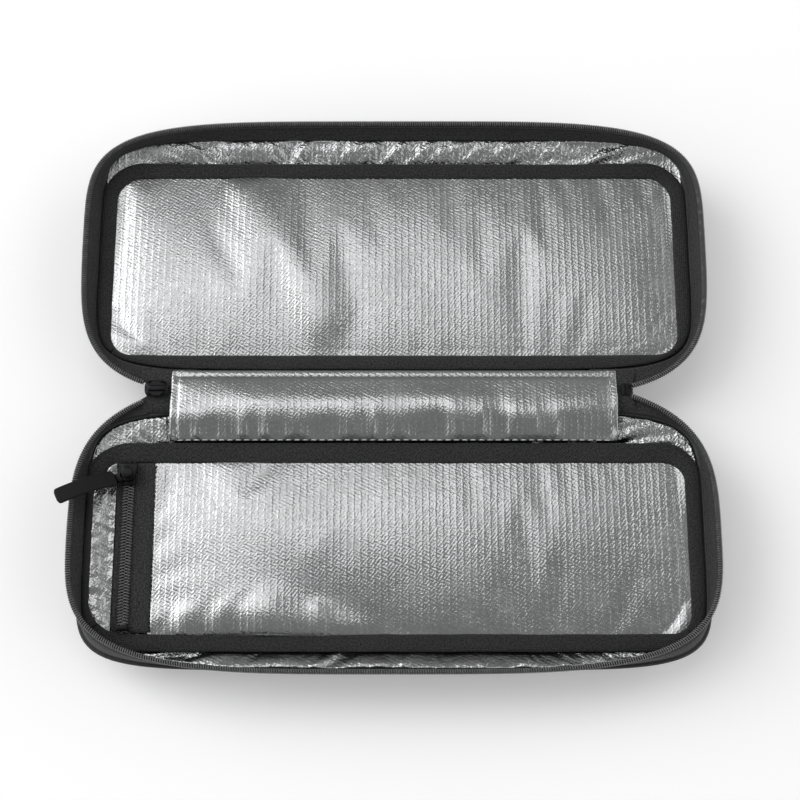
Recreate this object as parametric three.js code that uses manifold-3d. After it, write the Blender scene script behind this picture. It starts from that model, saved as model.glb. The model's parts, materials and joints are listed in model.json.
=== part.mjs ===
// A soft cooling case for insulin pens, open flat: two insulated shells that fold on a fabric spine.
// Each shell holds a foil lining and a padded foil pocket, and one zip runs round both rims.
// Millimetres, +Z up, +X along the fold, +Y from the base towards the lid.
// The origin is the centre of the flat face that the base rests on.
import * as THREE from "three";
import { mergeVertices } from "three/addons/utils/BufferGeometryUtils.js";
import Module from "manifold-3d";

const wasm = await Module();
wasm.setup();

// Fit between pieces that are sewn together or laid on each other
const SEAM_GAP = 0.3;

// Shells: one superellipse tray on each side of the spine
const SHELL_LENGTH = 213;
const SHELL_WIDTH = 89.4;
const SHELL_DEPTH = 16;
const SHELL_WALL = 1.6;
const SHELL_DRAFT = 3; // how far the wall leans in between the rim and the foot
const SHELL_FOOT_RADIUS = 7;
const SHELL_SQUARENESS = 7;

// Spine: the fabric between the shells, and the foil flap over it
const SPINE_GAP = 12;
const SPINE_THICKNESS = 1.2;
const SPINE_SAG = 1.2;
const SPINE_DROP = 0.8; // below the shell rims at its sewn edges
const FLAP_CLEARANCE = 1; // main slider to the flap's end
const FLAP_BASE_REACH = 18; // from the fold line over the base
const FLAP_THICKNESS = 1.2;
const FLAP_CROWN = 3.8;
const FLAP_END_DRAW = 1.2; // how far the sewn ends are drawn down
const FLAP_END_POWER = 8; // how close to the ends that happens
const FLAP_ROUNDNESS = 0.8; // under 1 fills out the crown
const FLAP_BASE_DROP = 1.8; // base edge below the lid edge

// Insulation and foil lining inside each shell
const FLOOR_FOAM = 4;
const LINING_THICKNESS = 0.6;
const LIP_INSET = 5;
const LIP_DROP = 0.6;
const SHOULDER_INSET = 11;
const SHOULDER_DROP = 2.4;
const FLOOR_INSET = 14.5;

// Main zip: a tape band that stands on each rim and a coil along its edge
const ZIP_BAND = 10; // shell rim to the plane where the two halves meet
const ZIP_TAPE_THICKNESS = 0.8;
const COIL_RADIUS = 1;
const COIL_SIDE_OVERHANG = 2.4;
const COIL_FRONT_OVERHANG = 2.4;
const BASE_COIL_FRONT_SQUARENESS = 3.8;
const BASE_COIL_HINGE_SQUARENESS = 3.4;
const LID_COIL_FRONT_SQUARENESS = 4.6;
const LID_COIL_HINGE_SQUARENESS = 4.3;
const NECK_INSET = 26.4; // from the end of the coil line to where the coil stops, along the fold
const BASE_NECK_GAP = 2.4; // coil line to the fold plane at the neck
const LID_NECK_GAP = 1.2;
const NECK_RISE = 2.5; // coil line above the shell rim at the neck
const NECK_RAMP = 60; // length over which the coil line climbs from the neck to the closing plane

// Pockets: a crowned foil panel inside each half, bound with tape
const PANEL_THICKNESS = 1.2;
const PANEL_CROWN = 3;
const PANEL_EDGE_ROLL = 0.5;
const PANEL_CROWN_POWER = 3; // higher keeps the middle flat and the edges steep
const BINDING_THICKNESS = 1;
const BINDING_DOME = 0.4;
const SEAT_INSET = 9; // inboard of this the pocket edge keeps its height
const SIDE_INSET = 5.9; // shell end to the pocket's foil
const SIDE_BINDING = 4.2;
const RIM_CLEARANCE = 1.6; // shell outline to the outer edge of a binding
const LID_FRONT_INSET = 14;
const LID_HINGE_INSET = 6.3;
const LID_FRONT_BINDING = 5.6;
const LID_HINGE_BINDING = 4.4;
const LID_FRONT_RADIUS = 13;
const LID_HINGE_RADIUS = 11;
const BASE_FRONT_INSET = 10.3;
const BASE_HINGE_INSET = 18.6;
const BASE_FRONT_BINDING = 4.9;
const BASE_HINGE_BINDING = 5.9;
const BASE_RIGHT_RADIUS = 12;
const BASE_LEFT_RADIUS = 2.4;

// Gel packs behind the panels
const GEL_MARGIN = 3; // edge of the lining's floor or of the pocket to the edge of the pack
const GEL_EDGE = 3;
const GEL_HEIGHT = 6.4;
const GEL_SEAM_SHARE = 0.94; // outline above and below the welded edge
const GEL_TOP_SHARE = 0.7; // outline of the flat top

// Pocket zip along the left of the base panel
const POCKET_ZIP_INSET = 15.6; // shell end to the middle of the zip
const POCKET_COIL_GAP = 0.6; // middle of the zip to each coil
const POCKET_COIL_WIDTH = 1.4;
const POCKET_COIL_HEIGHT = 1.6;
const POCKET_TAPE_THICKNESS = 0.6;
const POCKET_OUTER_TAPE = 1.7;
const POCKET_INNER_TAPE = 5.4;
const POCKET_STOP_LENGTH = 2;

// Sliders and pulls
const SLIDER_LENGTH = 8;
const SLIDER_WIDTH = 6.4;
const SLIDER_NOSE = 4; // width of the narrow end
const SLIDER_WING = 0.9;
const SLIDER_LOWER_WIDTH = 4.4;
const SLIDER_GUIDE_WIDTH = 0.6;
const SLIDER_GUIDE_LENGTH = 2;
const SWIVEL_RADIUS = 1.1;
const SWIVEL_HEAD_RADIUS = 1.9;
const SWIVEL_HEAD_HEIGHT = 0.9;
const LINK_THICKNESS = 1.4;
const LINK_EYE_RADIUS = 2.7;
const LINK_ARM_WIDTH = 3.2;
const LINK_REACH = 7.5;
const TAB_ROOT = 4.4; // pivot to the near end of the tab
const TAB_REACH = 24.5;
const TAB_WIDTH = 5.4;
const TAB_THICKNESS = 1.4;
const TAB_CORNER = 1.3;
const TAB_LYING = 2.1; // how far the pocket tab lies along its link before it rises
const POCKET_TAB_ARCH = 3; // tab's far end above the closing plane
const POCKET_PULL_HEADING = 205; // degrees from +X, lying out over the left rim
const MAIN_SLIDER_WIDTH = 5.8;
const MAIN_PIN_RADIUS = 0.7;
const MAIN_EYE_RADIUS = 2;
const MAIN_LINK_THICKNESS = 1.6;
const MAIN_CHEEK_THICKNESS = 0.7;
const MAIN_CHEEK_MARGIN = 0.3; // round the pin
const MAIN_PULL_DIP = 30; // degrees below level, tucked under the spine
const MAIN_STOP_LENGTH = 3;
const MAIN_STOP_WIDTH = 6;

// Facets
const RING_POINTS = 40;
const FOOT_STEPS = 3;
const ZIP_STATIONS = 48;
const COIL_SIDES = 5;
const OUTLINE_POINTS = 40;
const BINDING_STEP = 6;
const ARC_POINTS = 6;
const ROUND_SEGMENTS = 16;
const TAB_STEPS = 12;
const FLAP_STATIONS = [-1, -0.9, 0, 0.9, 1];
const PANEL_TOP_SHARES = [0.15, 0.4, 0.62, 0.8, 0.92];
const PANEL_UNDER_SHARES = [1, 0.8, 0.4];

// Derived places, in the frame of one half: shell centre at the origin, fold line on the +Y side
const HALF_X = SHELL_LENGTH / 2;
const HALF_Y = SHELL_WIDTH / 2;
const HINGE_Y = HALF_Y + SPINE_GAP / 2;
const CLOSING_Z = SHELL_DEPTH + ZIP_BAND;
const COIL_HALF_X = HALF_X + COIL_SIDE_OVERHANG;
const COIL_FRONT_Y = HALF_Y + COIL_FRONT_OVERHANG;
const COIL_Z = CLOSING_Z - SEAM_GAP / 2 - COIL_RADIUS;
const NECK_X = COIL_HALF_X - NECK_INSET;
const NECK_Z = SHELL_DEPTH + NECK_RISE;
const FLOOR_Z = SHELL_WALL + SEAM_GAP + FLOOR_FOAM + SEAM_GAP + LINING_THICKNESS;
const LINING_PROFILE = [
  new THREE.Vector2(SHELL_WALL + 2 * SEAM_GAP, SHELL_DEPTH),
  new THREE.Vector2(LIP_INSET, SHELL_DEPTH - LIP_DROP),
  new THREE.Vector2(SHOULDER_INSET, SHELL_DEPTH - SHOULDER_DROP),
  new THREE.Vector2(FLOOR_INSET, FLOOR_Z),
];
const POCKET_ZIP_X = -(HALF_X - POCKET_ZIP_INSET);
const POCKET_OUTER_EDGE = POCKET_ZIP_X - POCKET_COIL_GAP - POCKET_COIL_WIDTH - SEAM_GAP - POCKET_OUTER_TAPE;
const POCKET_INNER_EDGE = POCKET_ZIP_X + POCKET_COIL_GAP + POCKET_COIL_WIDTH + SEAM_GAP + POCKET_INNER_TAPE;
const POCKET_ZIP_FRONT = -(HALF_Y - BASE_FRONT_INSET) + BASE_LEFT_RADIUS / 2;
const POCKET_ZIP_HINGE = HALF_Y - BASE_HINGE_INSET - BASE_LEFT_RADIUS / 2;
const POCKET_ZIP_Z = seatHeight(new THREE.Vector2(POCKET_OUTER_EDGE, POCKET_ZIP_FRONT));
const POCKET_SLIDER_Y = POCKET_ZIP_HINGE - SEAM_GAP - SLIDER_LENGTH / 2;
const POCKET_WING_Z = POCKET_ZIP_Z + POCKET_COIL_HEIGHT + SEAM_GAP;
const POCKET_LINK_Z = POCKET_WING_Z + SLIDER_WING + SEAM_GAP;
const MAIN_SLIDER_X = -NECK_X;
const FLAP_HALF = NECK_X - SLIDER_LENGTH / 2 - FLAP_CLEARANCE;
const MAIN_PIN_Z = NECK_Z - COIL_RADIUS - SEAM_GAP - SLIDER_WING - SEAM_GAP - MAIN_EYE_RADIUS;

const FOIL = finish(0xc6cacd, 0.34, 0.9);
const LEATHERETTE = finish(0x1e1f21, 0.62, 0);
const WEBBING = finish(0x242425, 0.9, 0);
const NYLON = finish(0x1a1a1b, 0.5, 0);
const DARK_METAL = finish(0x303033, 0.38, 0.85);
const SOFT_TAB = finish(0x222223, 0.7, 0);
const FOAM = finish(0xe8e8e4, 0.95, 0);
const GEL = finish(0x9cc3dc, 0.3, 0);

function finish(color, roughness, metalness) {
  return new THREE.MeshStandardMaterial({ color, roughness, metalness });
}

function piece(name, geometry, material) {
  const mesh = new THREE.Mesh(geometry, material);
  mesh.name = name;
  return mesh;
}

function groupOf(...pieces) {
  const group = new THREE.Group();
  group.add(...pieces);
  return group;
}

// Triangles over one flat ring, wound the way the ring runs
function capFaces(ring, offset) {
  const normal = new THREE.Vector3();
  ring.forEach((p, i) => normal.add(new THREE.Vector3().crossVectors(p, ring[(i + 1) % ring.length])));
  normal.normalize();
  const across = new THREE.Vector3().subVectors(ring[1], ring[0]).normalize();
  const along = new THREE.Vector3().crossVectors(normal, across);
  const flat = ring.map((p) => new THREE.Vector2(p.dot(across), p.dot(along)));
  return THREE.ShapeUtils.triangulateShape(flat, []).map(([a, b, c]) => {
    const turn = THREE.ShapeUtils.area([flat[a], flat[b], flat[c]]);
    return (turn > 0 ? [a, b, c] : [a, c, b]).map((i) => i + offset);
  });
}

// Triangles over one ring from a hub in its middle, for rings with straight runs of points
function fanFaces(ring, offset, hub) {
  return ring.map((_, i) => [offset + i, offset + ((i + 1) % ring.length), hub]);
}

function middleOf(ring) {
  return ring.reduce((sum, p) => sum.add(p), new THREE.Vector3()).divideScalar(ring.length);
}

// A closed skin over rings with the same number of points, capped at both ends
function loft(rings, hubbed = false) {
  const size = rings[0].length;
  const points = rings.flat();
  const last = (rings.length - 1) * size;
  const ends = [rings[0], rings[rings.length - 1]];
  const caps = ends.map((ring, k) =>
    hubbed ? fanFaces(ring, k * last, points.length + k) : capFaces(ring, k * last),
  );
  if (hubbed) points.push(...ends.map(middleOf));
  const faces = [...caps[0].map((face) => face.reverse()), ...caps[1]];
  for (let k = 0; k < last; k += size) {
    for (let i = 0; i < size; i++) {
      const a = k + i;
      const b = k + ((i + 1) % size);
      faces.push([a, b, b + size], [a, b + size, a + size]);
    }
  }
  const volume = faces.reduce(
    (sum, [a, b, c]) => sum + points[a].dot(new THREE.Vector3().crossVectors(points[b], points[c])),
    0,
  );
  const outward = volume > 0 ? faces : faces.map(([a, b, c]) => [a, c, b]);
  const geometry = new THREE.BufferGeometry().setFromPoints(points);
  geometry.setIndex(outward.flat());
  return geometry;
}

// Boolean joins
function solidOf(geometry) {
  const bare = geometry.clone();
  bare.deleteAttribute("normal");
  bare.deleteAttribute("uv");
  const merged = mergeVertices(bare);
  return new wasm.Manifold(
    new wasm.Mesh({
      numProp: 3,
      vertProperties: Float32Array.from(merged.attributes.position.array),
      triVerts: Uint32Array.from(merged.index.array),
    }),
  );
}

function joined(...geometries) {
  const solid = geometries.map(solidOf).reduce((sum, next) => sum.add(next));
  const mesh = solid.getMesh();
  const geometry = new THREE.BufferGeometry();
  geometry.setAttribute("position", new THREE.BufferAttribute(mesh.vertProperties, mesh.numProp));
  geometry.setIndex(new THREE.BufferAttribute(mesh.triVerts, 1));
  return geometry;
}

function boxBetween(x0, x1, y0, y1, z0, z1) {
  const geometry = new THREE.BoxGeometry(x1 - x0, y1 - y0, z1 - z0);
  return geometry.translate((x0 + x1) / 2, (y0 + y1) / 2, (z0 + z1) / 2);
}

function upright(radius, z0, z1) {
  const geometry = new THREE.CylinderGeometry(radius, radius, z1 - z0, ROUND_SEGMENTS);
  return geometry.rotateX(Math.PI / 2).translate(0, 0, (z0 + z1) / 2);
}

// Plan outlines
function superPoint(halfX, halfY, power, angle) {
  const c = Math.cos(angle);
  const s = Math.sin(angle);
  const x = halfX * Math.sign(c) * Math.abs(c) ** (2 / power);
  const y = halfY * Math.sign(s) * Math.abs(s) ** (2 / power);
  return new THREE.Vector2(x, y);
}

function shellRing(inset, z) {
  return Array.from({ length: RING_POINTS }, (_, i) => {
    const angle = (i / RING_POINTS) * 2 * Math.PI;
    const p = superPoint(HALF_X - inset, HALF_Y - inset, SHELL_SQUARENESS, angle);
    return new THREE.Vector3(p.x, p.y, z);
  });
}

function bisect(isPast, low, high) {
  let [a, b] = [low, high];
  for (let i = 0; i < 40; i++) {
    const middle = (a + b) / 2;
    [a, b] = isPast(middle) ? [a, middle] : [middle, b];
  }
  return (a + b) / 2;
}

function outsideShell(point, inset) {
  const x = Math.abs(point.x) / (HALF_X - inset);
  const y = Math.abs(point.y) / (HALF_Y - inset);
  return x ** SHELL_SQUARENESS + y ** SHELL_SQUARENESS > 1;
}

// How far inside the shell outline a point lies
function insetAt(point) {
  return bisect((inset) => outsideShell(point, inset), -SPINE_GAP, HALF_Y - SEAM_GAP);
}

// Distance from a point along a direction to the shell outline
function reachToShell(point, direction, inset) {
  const at = (d) => point.clone().addScaledVector(direction, d);
  return bisect((d) => outsideShell(at(d), inset), -HALF_Y / 2, HALF_Y / 2);
}

// Height of the lining's face at a distance inside the shell outline
function profileHeight(inset) {
  const next = LINING_PROFILE.findIndex((p) => p.x > inset);
  if (next === 0) return LINING_PROFILE[0].y;
  const [a, b] = [LINING_PROFILE[next - 1], LINING_PROFILE[next]];
  return THREE.MathUtils.mapLinear(inset, a.x, b.x, a.y, b.y);
}

// Height at which a pocket's edge lies on the lining
function seatHeight(point) {
  return profileHeight(Math.min(insetAt(point), SEAT_INSET)) + SEAM_GAP;
}

// The lining's profile moved back from its face
function liningBehind(distance) {
  return LINING_PROFILE.map((p, i) => {
    const before = LINING_PROFILE[Math.max(i - 1, 0)];
    const after = LINING_PROFILE[i + 1] ?? new THREE.Vector2(p.x + 1, p.y);
    const into = i === 0 ? after.clone().sub(p) : p.clone().sub(before);
    const out = after.clone().sub(p);
    const normals = [into, out].map((d) => new THREE.Vector2(d.y, -d.x).normalize());
    const miter = distance / (1 + normals[0].dot(normals[1]));
    return p.clone().addScaledVector(normals[0].add(normals[1]), miter);
  });
}

// Trays: rings up the outside and back down the inside
function footArc(inset, z, radius) {
  return Array.from({ length: FOOT_STEPS + 1 }, (_, i) => {
    const turn = ((i / FOOT_STEPS) * Math.PI) / 2;
    return new THREE.Vector2(inset + radius * (1 - Math.sin(turn)), z + radius * (1 - Math.cos(turn)));
  });
}

function tray(outside, inside) {
  return loft([...outside, ...inside].map((p) => shellRing(p.x, p.y)));
}

function shell() {
  const outside = footArc(SHELL_DRAFT, 0, SHELL_FOOT_RADIUS);
  outside.push(new THREE.Vector2(0, SHELL_DEPTH));
  const inside = footArc(SHELL_DRAFT + SHELL_WALL, SHELL_WALL, SHELL_FOOT_RADIUS - SHELL_WALL);
  inside.push(new THREE.Vector2(SHELL_WALL, SHELL_DEPTH));
  return tray(outside, inside.reverse());
}

function insulation() {
  const skin = SHELL_WALL + SEAM_GAP;
  const inside = liningBehind(LINING_THICKNESS + SEAM_GAP).slice(1);
  const topZ = inside[0].y;
  const lean = (SHELL_DRAFT * (SHELL_DEPTH - topZ)) / (SHELL_DEPTH - SHELL_FOOT_RADIUS);
  const outside = footArc(SHELL_DRAFT + skin, skin, SHELL_FOOT_RADIUS - skin);
  outside.push(new THREE.Vector2(skin + lean, topZ));
  return tray(outside, inside);
}

function lining() {
  return tray(liningBehind(LINING_THICKNESS).reverse(), LINING_PROFILE);
}

// Main zip: the coil line runs from one neck round the front to the other
function coilPoint(coil, angle) {
  if (Math.sin(angle) <= 0) return superPoint(COIL_HALF_X, COIL_FRONT_Y, coil.front, angle);
  const atNeck = (1 - (NECK_X / COIL_HALF_X) ** coil.hinge) ** (1 / coil.hinge);
  return superPoint(COIL_HALF_X, (HINGE_Y - coil.gap) / atNeck, coil.hinge, angle);
}

function coilAngle(coil, x) {
  return Math.acos((x / COIL_HALF_X) ** (coil.hinge / 2));
}

function zipStations(coil) {
  const start = coilAngle(coil, coil.rightEnd);
  const sweep = Math.PI + start + coilAngle(coil, coil.leftEnd);
  const dense = ZIP_STATIONS * 8;
  const line = Array.from({ length: dense + 1 }, (_, i) => {
    const p = coilPoint(coil, start - (sweep * i) / dense);
    return new THREE.Vector3(p.x, p.y, 0);
  });
  const curve = new THREE.CatmullRomCurve3(line);
  curve.arcLengthDivisions = dense * 4;
  const length = curve.getLength();
  return Array.from({ length: ZIP_STATIONS + 1 }, (_, i) => {
    const u = i / ZIP_STATIONS;
    const fromNeck = Math.min(u, 1 - u) * length;
    const lift = THREE.MathUtils.smoothstep(fromNeck, 0, NECK_RAMP);
    const ahead = curve.getTangentAt(u);
    return {
      point: curve.getPointAt(u),
      outward: new THREE.Vector3(-ahead.y, ahead.x, 0).normalize(),
      z: THREE.MathUtils.lerp(NECK_Z, COIL_Z, lift),
    };
  });
}

function zipCoil(stations) {
  return loft(
    stations.map(({ point, outward, z }) =>
      Array.from({ length: COIL_SIDES }, (_, i) => {
        const turn = ((i + 0.5) / COIL_SIDES) * 2 * Math.PI - Math.PI / 2;
        const p = point.clone().addScaledVector(outward, COIL_RADIUS * Math.cos(turn));
        return p.setZ(z + COIL_RADIUS * Math.sin(turn));
      }),
    ),
  );
}

function zipTape(stations) {
  const half = ZIP_TAPE_THICKNESS / 2;
  return loft(
    stations.map(({ point, outward, z }) => {
      const reach = reachToShell(point, outward, SHELL_WALL / 2);
      const low = point.clone().addScaledVector(outward, reach).setZ(SHELL_DEPTH + SEAM_GAP + half);
      const high = point.clone().setZ(z - COIL_RADIUS - SEAM_GAP - half);
      const rise = high.z - low.z;
      const side = outward.clone().multiplyScalar(rise).setZ(reach).setLength(half);
      const up = high.clone().sub(low).setLength(half);
      return [
        low.clone().add(side),
        high.clone().add(side).add(up),
        high.clone().sub(side).add(up),
        low.clone().sub(side),
      ];
    }),
  );
}

// Pockets: a rounded outline, its crowned panel and the tape bound round it
function pocketPath({ left, right, front, hinge, radii }) {
  const [frontLeft, frontRight, hingeRight, hingeLeft] = radii;
  const path = new THREE.Path();
  path.moveTo(left, (front + hinge) / 2);
  path.lineTo(left, front + frontLeft);
  path.absarc(left + frontLeft, front + frontLeft, frontLeft, Math.PI, 1.5 * Math.PI);
  path.lineTo(right - frontRight, front);
  path.absarc(right - frontRight, front + frontRight, frontRight, -0.5 * Math.PI, 0);
  path.lineTo(right, hinge - hingeRight);
  path.absarc(right - hingeRight, hinge - hingeRight, hingeRight, 0, 0.5 * Math.PI);
  path.lineTo(left + hingeLeft, hinge);
  path.absarc(left + hingeLeft, hinge - hingeLeft, hingeLeft, 0.5 * Math.PI, Math.PI);
  path.lineTo(left, (front + hinge) / 2);
  return path;
}

function panel(pocket) {
  const edge = pocketPath(pocket).getSpacedPoints(OUTLINE_POINTS).slice(0, -1);
  const centre = new THREE.Vector2((pocket.left + pocket.right) / 2, (pocket.front + pocket.hinge) / 2);
  const crownZ = profileHeight(SEAT_INSET) + PANEL_THICKNESS + PANEL_CROWN;
  const ring = (share, drop) =>
    edge.map((p) => {
      const at = centre.clone().lerp(p, share);
      const z = THREE.MathUtils.lerp(crownZ, seatHeight(p) + PANEL_THICKNESS, share ** PANEL_CROWN_POWER);
      return new THREE.Vector3(at.x, at.y, z - drop);
    });
  const top = PANEL_TOP_SHARES.map((share) => ring(share, 0));
  const rolled = ring(1, PANEL_EDGE_ROLL);
  const under = PANEL_UNDER_SHARES.map((share) => ring(share, PANEL_THICKNESS));
  return loft([...top, rolled, ...under], true);
}

// A tape beside the outline, from the middle of one corner to the middle of another
function binding(pocket, from, to) {
  const path = pocketPath(pocket);
  const ends = path.getCurveLengths();
  const total = ends[ends.length - 1];
  const middle = (k) => (ends[k - 1] + ends[k]) / 2;
  const start = middle(from) + SEAM_GAP / 2;
  const stop = middle(to) + (to < from ? total : 0) - SEAM_GAP / 2;
  const steps = Math.ceil((stop - start) / BINDING_STEP);
  return loft(
    Array.from({ length: steps + 1 }, (_, i) => {
      const u = (THREE.MathUtils.lerp(start, stop, i / steps) / total) % 1;
      const edge = path.getPointAt(u);
      const ahead = path.getTangentAt(u);
      const outward = new THREE.Vector2(ahead.y, -ahead.x);
      const across = outward.y > 0 ? pocket.hingeBinding : pocket.frontBinding;
      const wanted = SIDE_BINDING * outward.x ** 2 + across * outward.y ** 2;
      const room = reachToShell(edge, outward, RIM_CLEARANCE) - SEAM_GAP;
      const width = Math.min(wanted, room);
      const at = (share, lift) => {
        const p = edge.clone().addScaledVector(outward, SEAM_GAP + width * share);
        return new THREE.Vector3(p.x, p.y, seatHeight(p) + lift);
      };
      const lower = [at(0, 0), at(0.5, 0), at(1, 0)];
      const domed = at(0.5, BINDING_THICKNESS + BINDING_DOME);
      return [...lower, at(1, BINDING_THICKNESS), domed, at(0, BINDING_THICKNESS)];
    }),
  );
}

function gelPack(pocket) {
  const floorX = HALF_X - FLOOR_INSET;
  const floorY = HALF_Y - FLOOR_INSET;
  const inner = {
    ...pocket,
    left: Math.max(pocket.left, -floorX) + GEL_MARGIN,
    right: Math.min(pocket.right, floorX) - GEL_MARGIN,
    front: Math.max(pocket.front, -floorY) + GEL_MARGIN,
    hinge: Math.min(pocket.hinge, floorY) - GEL_MARGIN,
  };
  const edge = pocketPath(inner).getSpacedPoints(OUTLINE_POINTS).slice(0, -1);
  const centre = new THREE.Vector2((inner.left + inner.right) / 2, (inner.front + inner.hinge) / 2);
  const seat = FLOOR_Z + SEAM_GAP;
  const ring = (share, z) =>
    edge.map((p) => {
      const at = centre.clone().lerp(p, share);
      return new THREE.Vector3(at.x, at.y, seat + z);
    });
  const rings = [
    ring(GEL_SEAM_SHARE, 0),
    ring(1, GEL_EDGE / 2),
    ring(GEL_SEAM_SHARE, GEL_EDGE),
    ring(GEL_TOP_SHARE, GEL_HEIGHT),
  ];
  return loft(rings, true);
}

// The foil strip outside the pocket zip
function sideStrip() {
  const outer = -(HALF_X - SIDE_INSET);
  const rows = [POCKET_ZIP_FRONT, POCKET_ZIP_HINGE];
  return loft(
    rows.map((y) => {
      const at = (x, lift) => {
        const p = new THREE.Vector2(x, y);
        return new THREE.Vector3(x, y, seatHeight(p) + lift);
      };
      const inner = POCKET_OUTER_EDGE - SEAM_GAP;
      return [at(outer, 0), at(inner, 0), at(inner, PANEL_THICKNESS), at(outer, PANEL_THICKNESS)];
    }),
  );
}

// Spine and flap, drawn across the fold and run along it
function alongFold(section, x0, x1) {
  const shape = new THREE.Shape(section);
  const geometry = new THREE.ExtrudeGeometry(shape, { depth: x1 - x0, bevelEnabled: false });
  return geometry.rotateX(Math.PI / 2).rotateZ(Math.PI / 2).translate(x0, HINGE_Y, 0);
}

function spineStrip() {
  const half = SPINE_GAP / 2 - SEAM_GAP;
  const arc = Array.from({ length: ARC_POINTS + 1 }, (_, i) => {
    const share = (2 * i) / ARC_POINTS - 1;
    const z = SHELL_DEPTH - SPINE_DROP - SPINE_SAG * (1 - share ** 2);
    return new THREE.Vector2(share * half, z);
  });
  const under = arc.map((p) => new THREE.Vector2(p.x, p.y - SPINE_THICKNESS)).reverse();
  const leftEnd = MAIN_SLIDER_X + SLIDER_LENGTH / 2 + SEAM_GAP;
  return alongFold([...arc, ...under], leftEnd, NECK_X);
}

function hingeFlap() {
  const lidEdge = SPINE_GAP / 2 + RIM_CLEARANCE - SEAM_GAP;
  const edgeZ = SHELL_DEPTH + SEAM_GAP;
  return loft(
    FLAP_STATIONS.map((share) => {
      const crown = FLAP_CROWN - FLAP_END_DRAW * share ** FLAP_END_POWER;
      const arc = Array.from({ length: 2 * ARC_POINTS + 1 }, (_, i) => {
        const k = i / (2 * ARC_POINTS);
        const y = HINGE_Y + THREE.MathUtils.lerp(lidEdge, -FLAP_BASE_REACH, k);
        const fall = FLAP_BASE_DROP * k ** 3;
        const z = edgeZ - fall + crown * Math.sin(Math.PI * k) ** FLAP_ROUNDNESS;
        return new THREE.Vector3(share * FLAP_HALF, y, z);
      });
      const top = arc.map((p) => p.clone().setZ(p.z + FLAP_THICKNESS)).reverse();
      return [...arc, ...top];
    }),
  );
}

// Pocket zip: two tapes, two coils, a stop, and the slider with its swivelling pull
function pocketStrip(x0, x1, z0, z1) {
  return boxBetween(x0, x1, POCKET_ZIP_FRONT, POCKET_ZIP_HINGE, z0, z1);
}

function wing(width, z0, z1) {
  const shape = new THREE.Shape([
    new THREE.Vector2(-width / 2, SLIDER_LENGTH / 2),
    new THREE.Vector2(-SLIDER_NOSE / 2, -SLIDER_LENGTH / 2),
    new THREE.Vector2(SLIDER_NOSE / 2, -SLIDER_LENGTH / 2),
    new THREE.Vector2(width / 2, SLIDER_LENGTH / 2),
  ]);
  return new THREE.ExtrudeGeometry(shape, { depth: z1 - z0, bevelEnabled: false }).translate(0, 0, z0);
}

function pocketSlider() {
  const underZ = POCKET_ZIP_Z - SEAM_GAP;
  const wingTop = POCKET_WING_Z + SLIDER_WING;
  const headZ = POCKET_LINK_Z + LINK_THICKNESS + SEAM_GAP;
  const guide = boxBetween(
    -SLIDER_GUIDE_WIDTH / 2,
    SLIDER_GUIDE_WIDTH / 2,
    SLIDER_LENGTH / 2 - SLIDER_GUIDE_LENGTH,
    SLIDER_LENGTH / 2,
    underZ - SLIDER_WING / 2,
    POCKET_WING_Z + SLIDER_WING / 2,
  );
  return joined(
    wing(SLIDER_WIDTH, POCKET_WING_Z, wingTop),
    wing(SLIDER_LOWER_WIDTH, underZ - SLIDER_WING, underZ),
    guide,
    upright(SWIVEL_RADIUS, wingTop - SLIDER_WING / 2, headZ + SWIVEL_HEAD_HEIGHT / 2),
    upright(SWIVEL_HEAD_RADIUS, headZ, headZ + SWIVEL_HEAD_HEIGHT),
  );
}

// An eye with a straight arm along +X, flat in its own plane
function eyeLink(eyeRadius, holeRadius, armWidth, thickness) {
  const spread = Math.asin(armWidth / 2 / eyeRadius);
  const shape = new THREE.Shape();
  shape.moveTo(LINK_REACH, -armWidth / 2);
  shape.lineTo(LINK_REACH, armWidth / 2);
  shape.absarc(0, 0, eyeRadius, spread, 2 * Math.PI - spread);
  const hole = new THREE.Path();
  hole.absarc(0, 0, holeRadius, 0, 2 * Math.PI, true);
  shape.holes.push(hole);
  const options = { depth: thickness, bevelEnabled: false, curveSegments: ROUND_SEGMENTS };
  return new THREE.ExtrudeGeometry(shape, options);
}

// A flat tab with rounded ends along a line in the XZ plane
function pullTab(line) {
  return loft(
    Array.from({ length: TAB_STEPS + 1 }, (_, i) => {
      const u = i / TAB_STEPS;
      const centre = line.getPointAt(u);
      const ahead = line.getTangentAt(u);
      const lift = new THREE.Vector3(-ahead.y, 0, ahead.x).multiplyScalar(TAB_THICKNESS / 2);
      const fromEnd = Math.min(u, 1 - u) * line.getLength();
      const corner = Math.max(TAB_CORNER - fromEnd, 0);
      const half = TAB_WIDTH / 2 - TAB_CORNER + Math.sqrt(TAB_CORNER ** 2 - corner ** 2);
      const at = (y, side) => new THREE.Vector3(centre.x, y, centre.y).addScaledVector(lift, side);
      return [at(-half, -1), at(half, -1), at(half, 1), at(-half, 1)];
    }),
  );
}

function pocketTabLine() {
  const rootZ = POCKET_LINK_Z + LINK_THICKNESS + SEAM_GAP + TAB_THICKNESS / 2;
  const tipZ = CLOSING_Z + POCKET_TAB_ARCH;
  return new THREE.CubicBezierCurve(
    new THREE.Vector2(TAB_ROOT, rootZ),
    new THREE.Vector2(TAB_ROOT + TAB_LYING, rootZ),
    new THREE.Vector2(TAB_ROOT + 2 * TAB_LYING, tipZ),
    new THREE.Vector2(TAB_REACH, tipZ),
  );
}

function pocketPull() {
  const eye = eyeLink(LINK_EYE_RADIUS, SWIVEL_RADIUS + SEAM_GAP, LINK_ARM_WIDTH, LINK_THICKNESS);
  const pull = groupOf(
    piece("pocket_pull_link", eye.translate(0, 0, POCKET_LINK_Z), DARK_METAL),
    piece("pocket_pull_tab", pullTab(pocketTabLine()), SOFT_TAB),
  );
  pull.position.set(POCKET_ZIP_X, POCKET_SLIDER_Y, 0);
  pull.rotation.z = THREE.MathUtils.degToRad(POCKET_PULL_HEADING);
  return pull;
}

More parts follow.
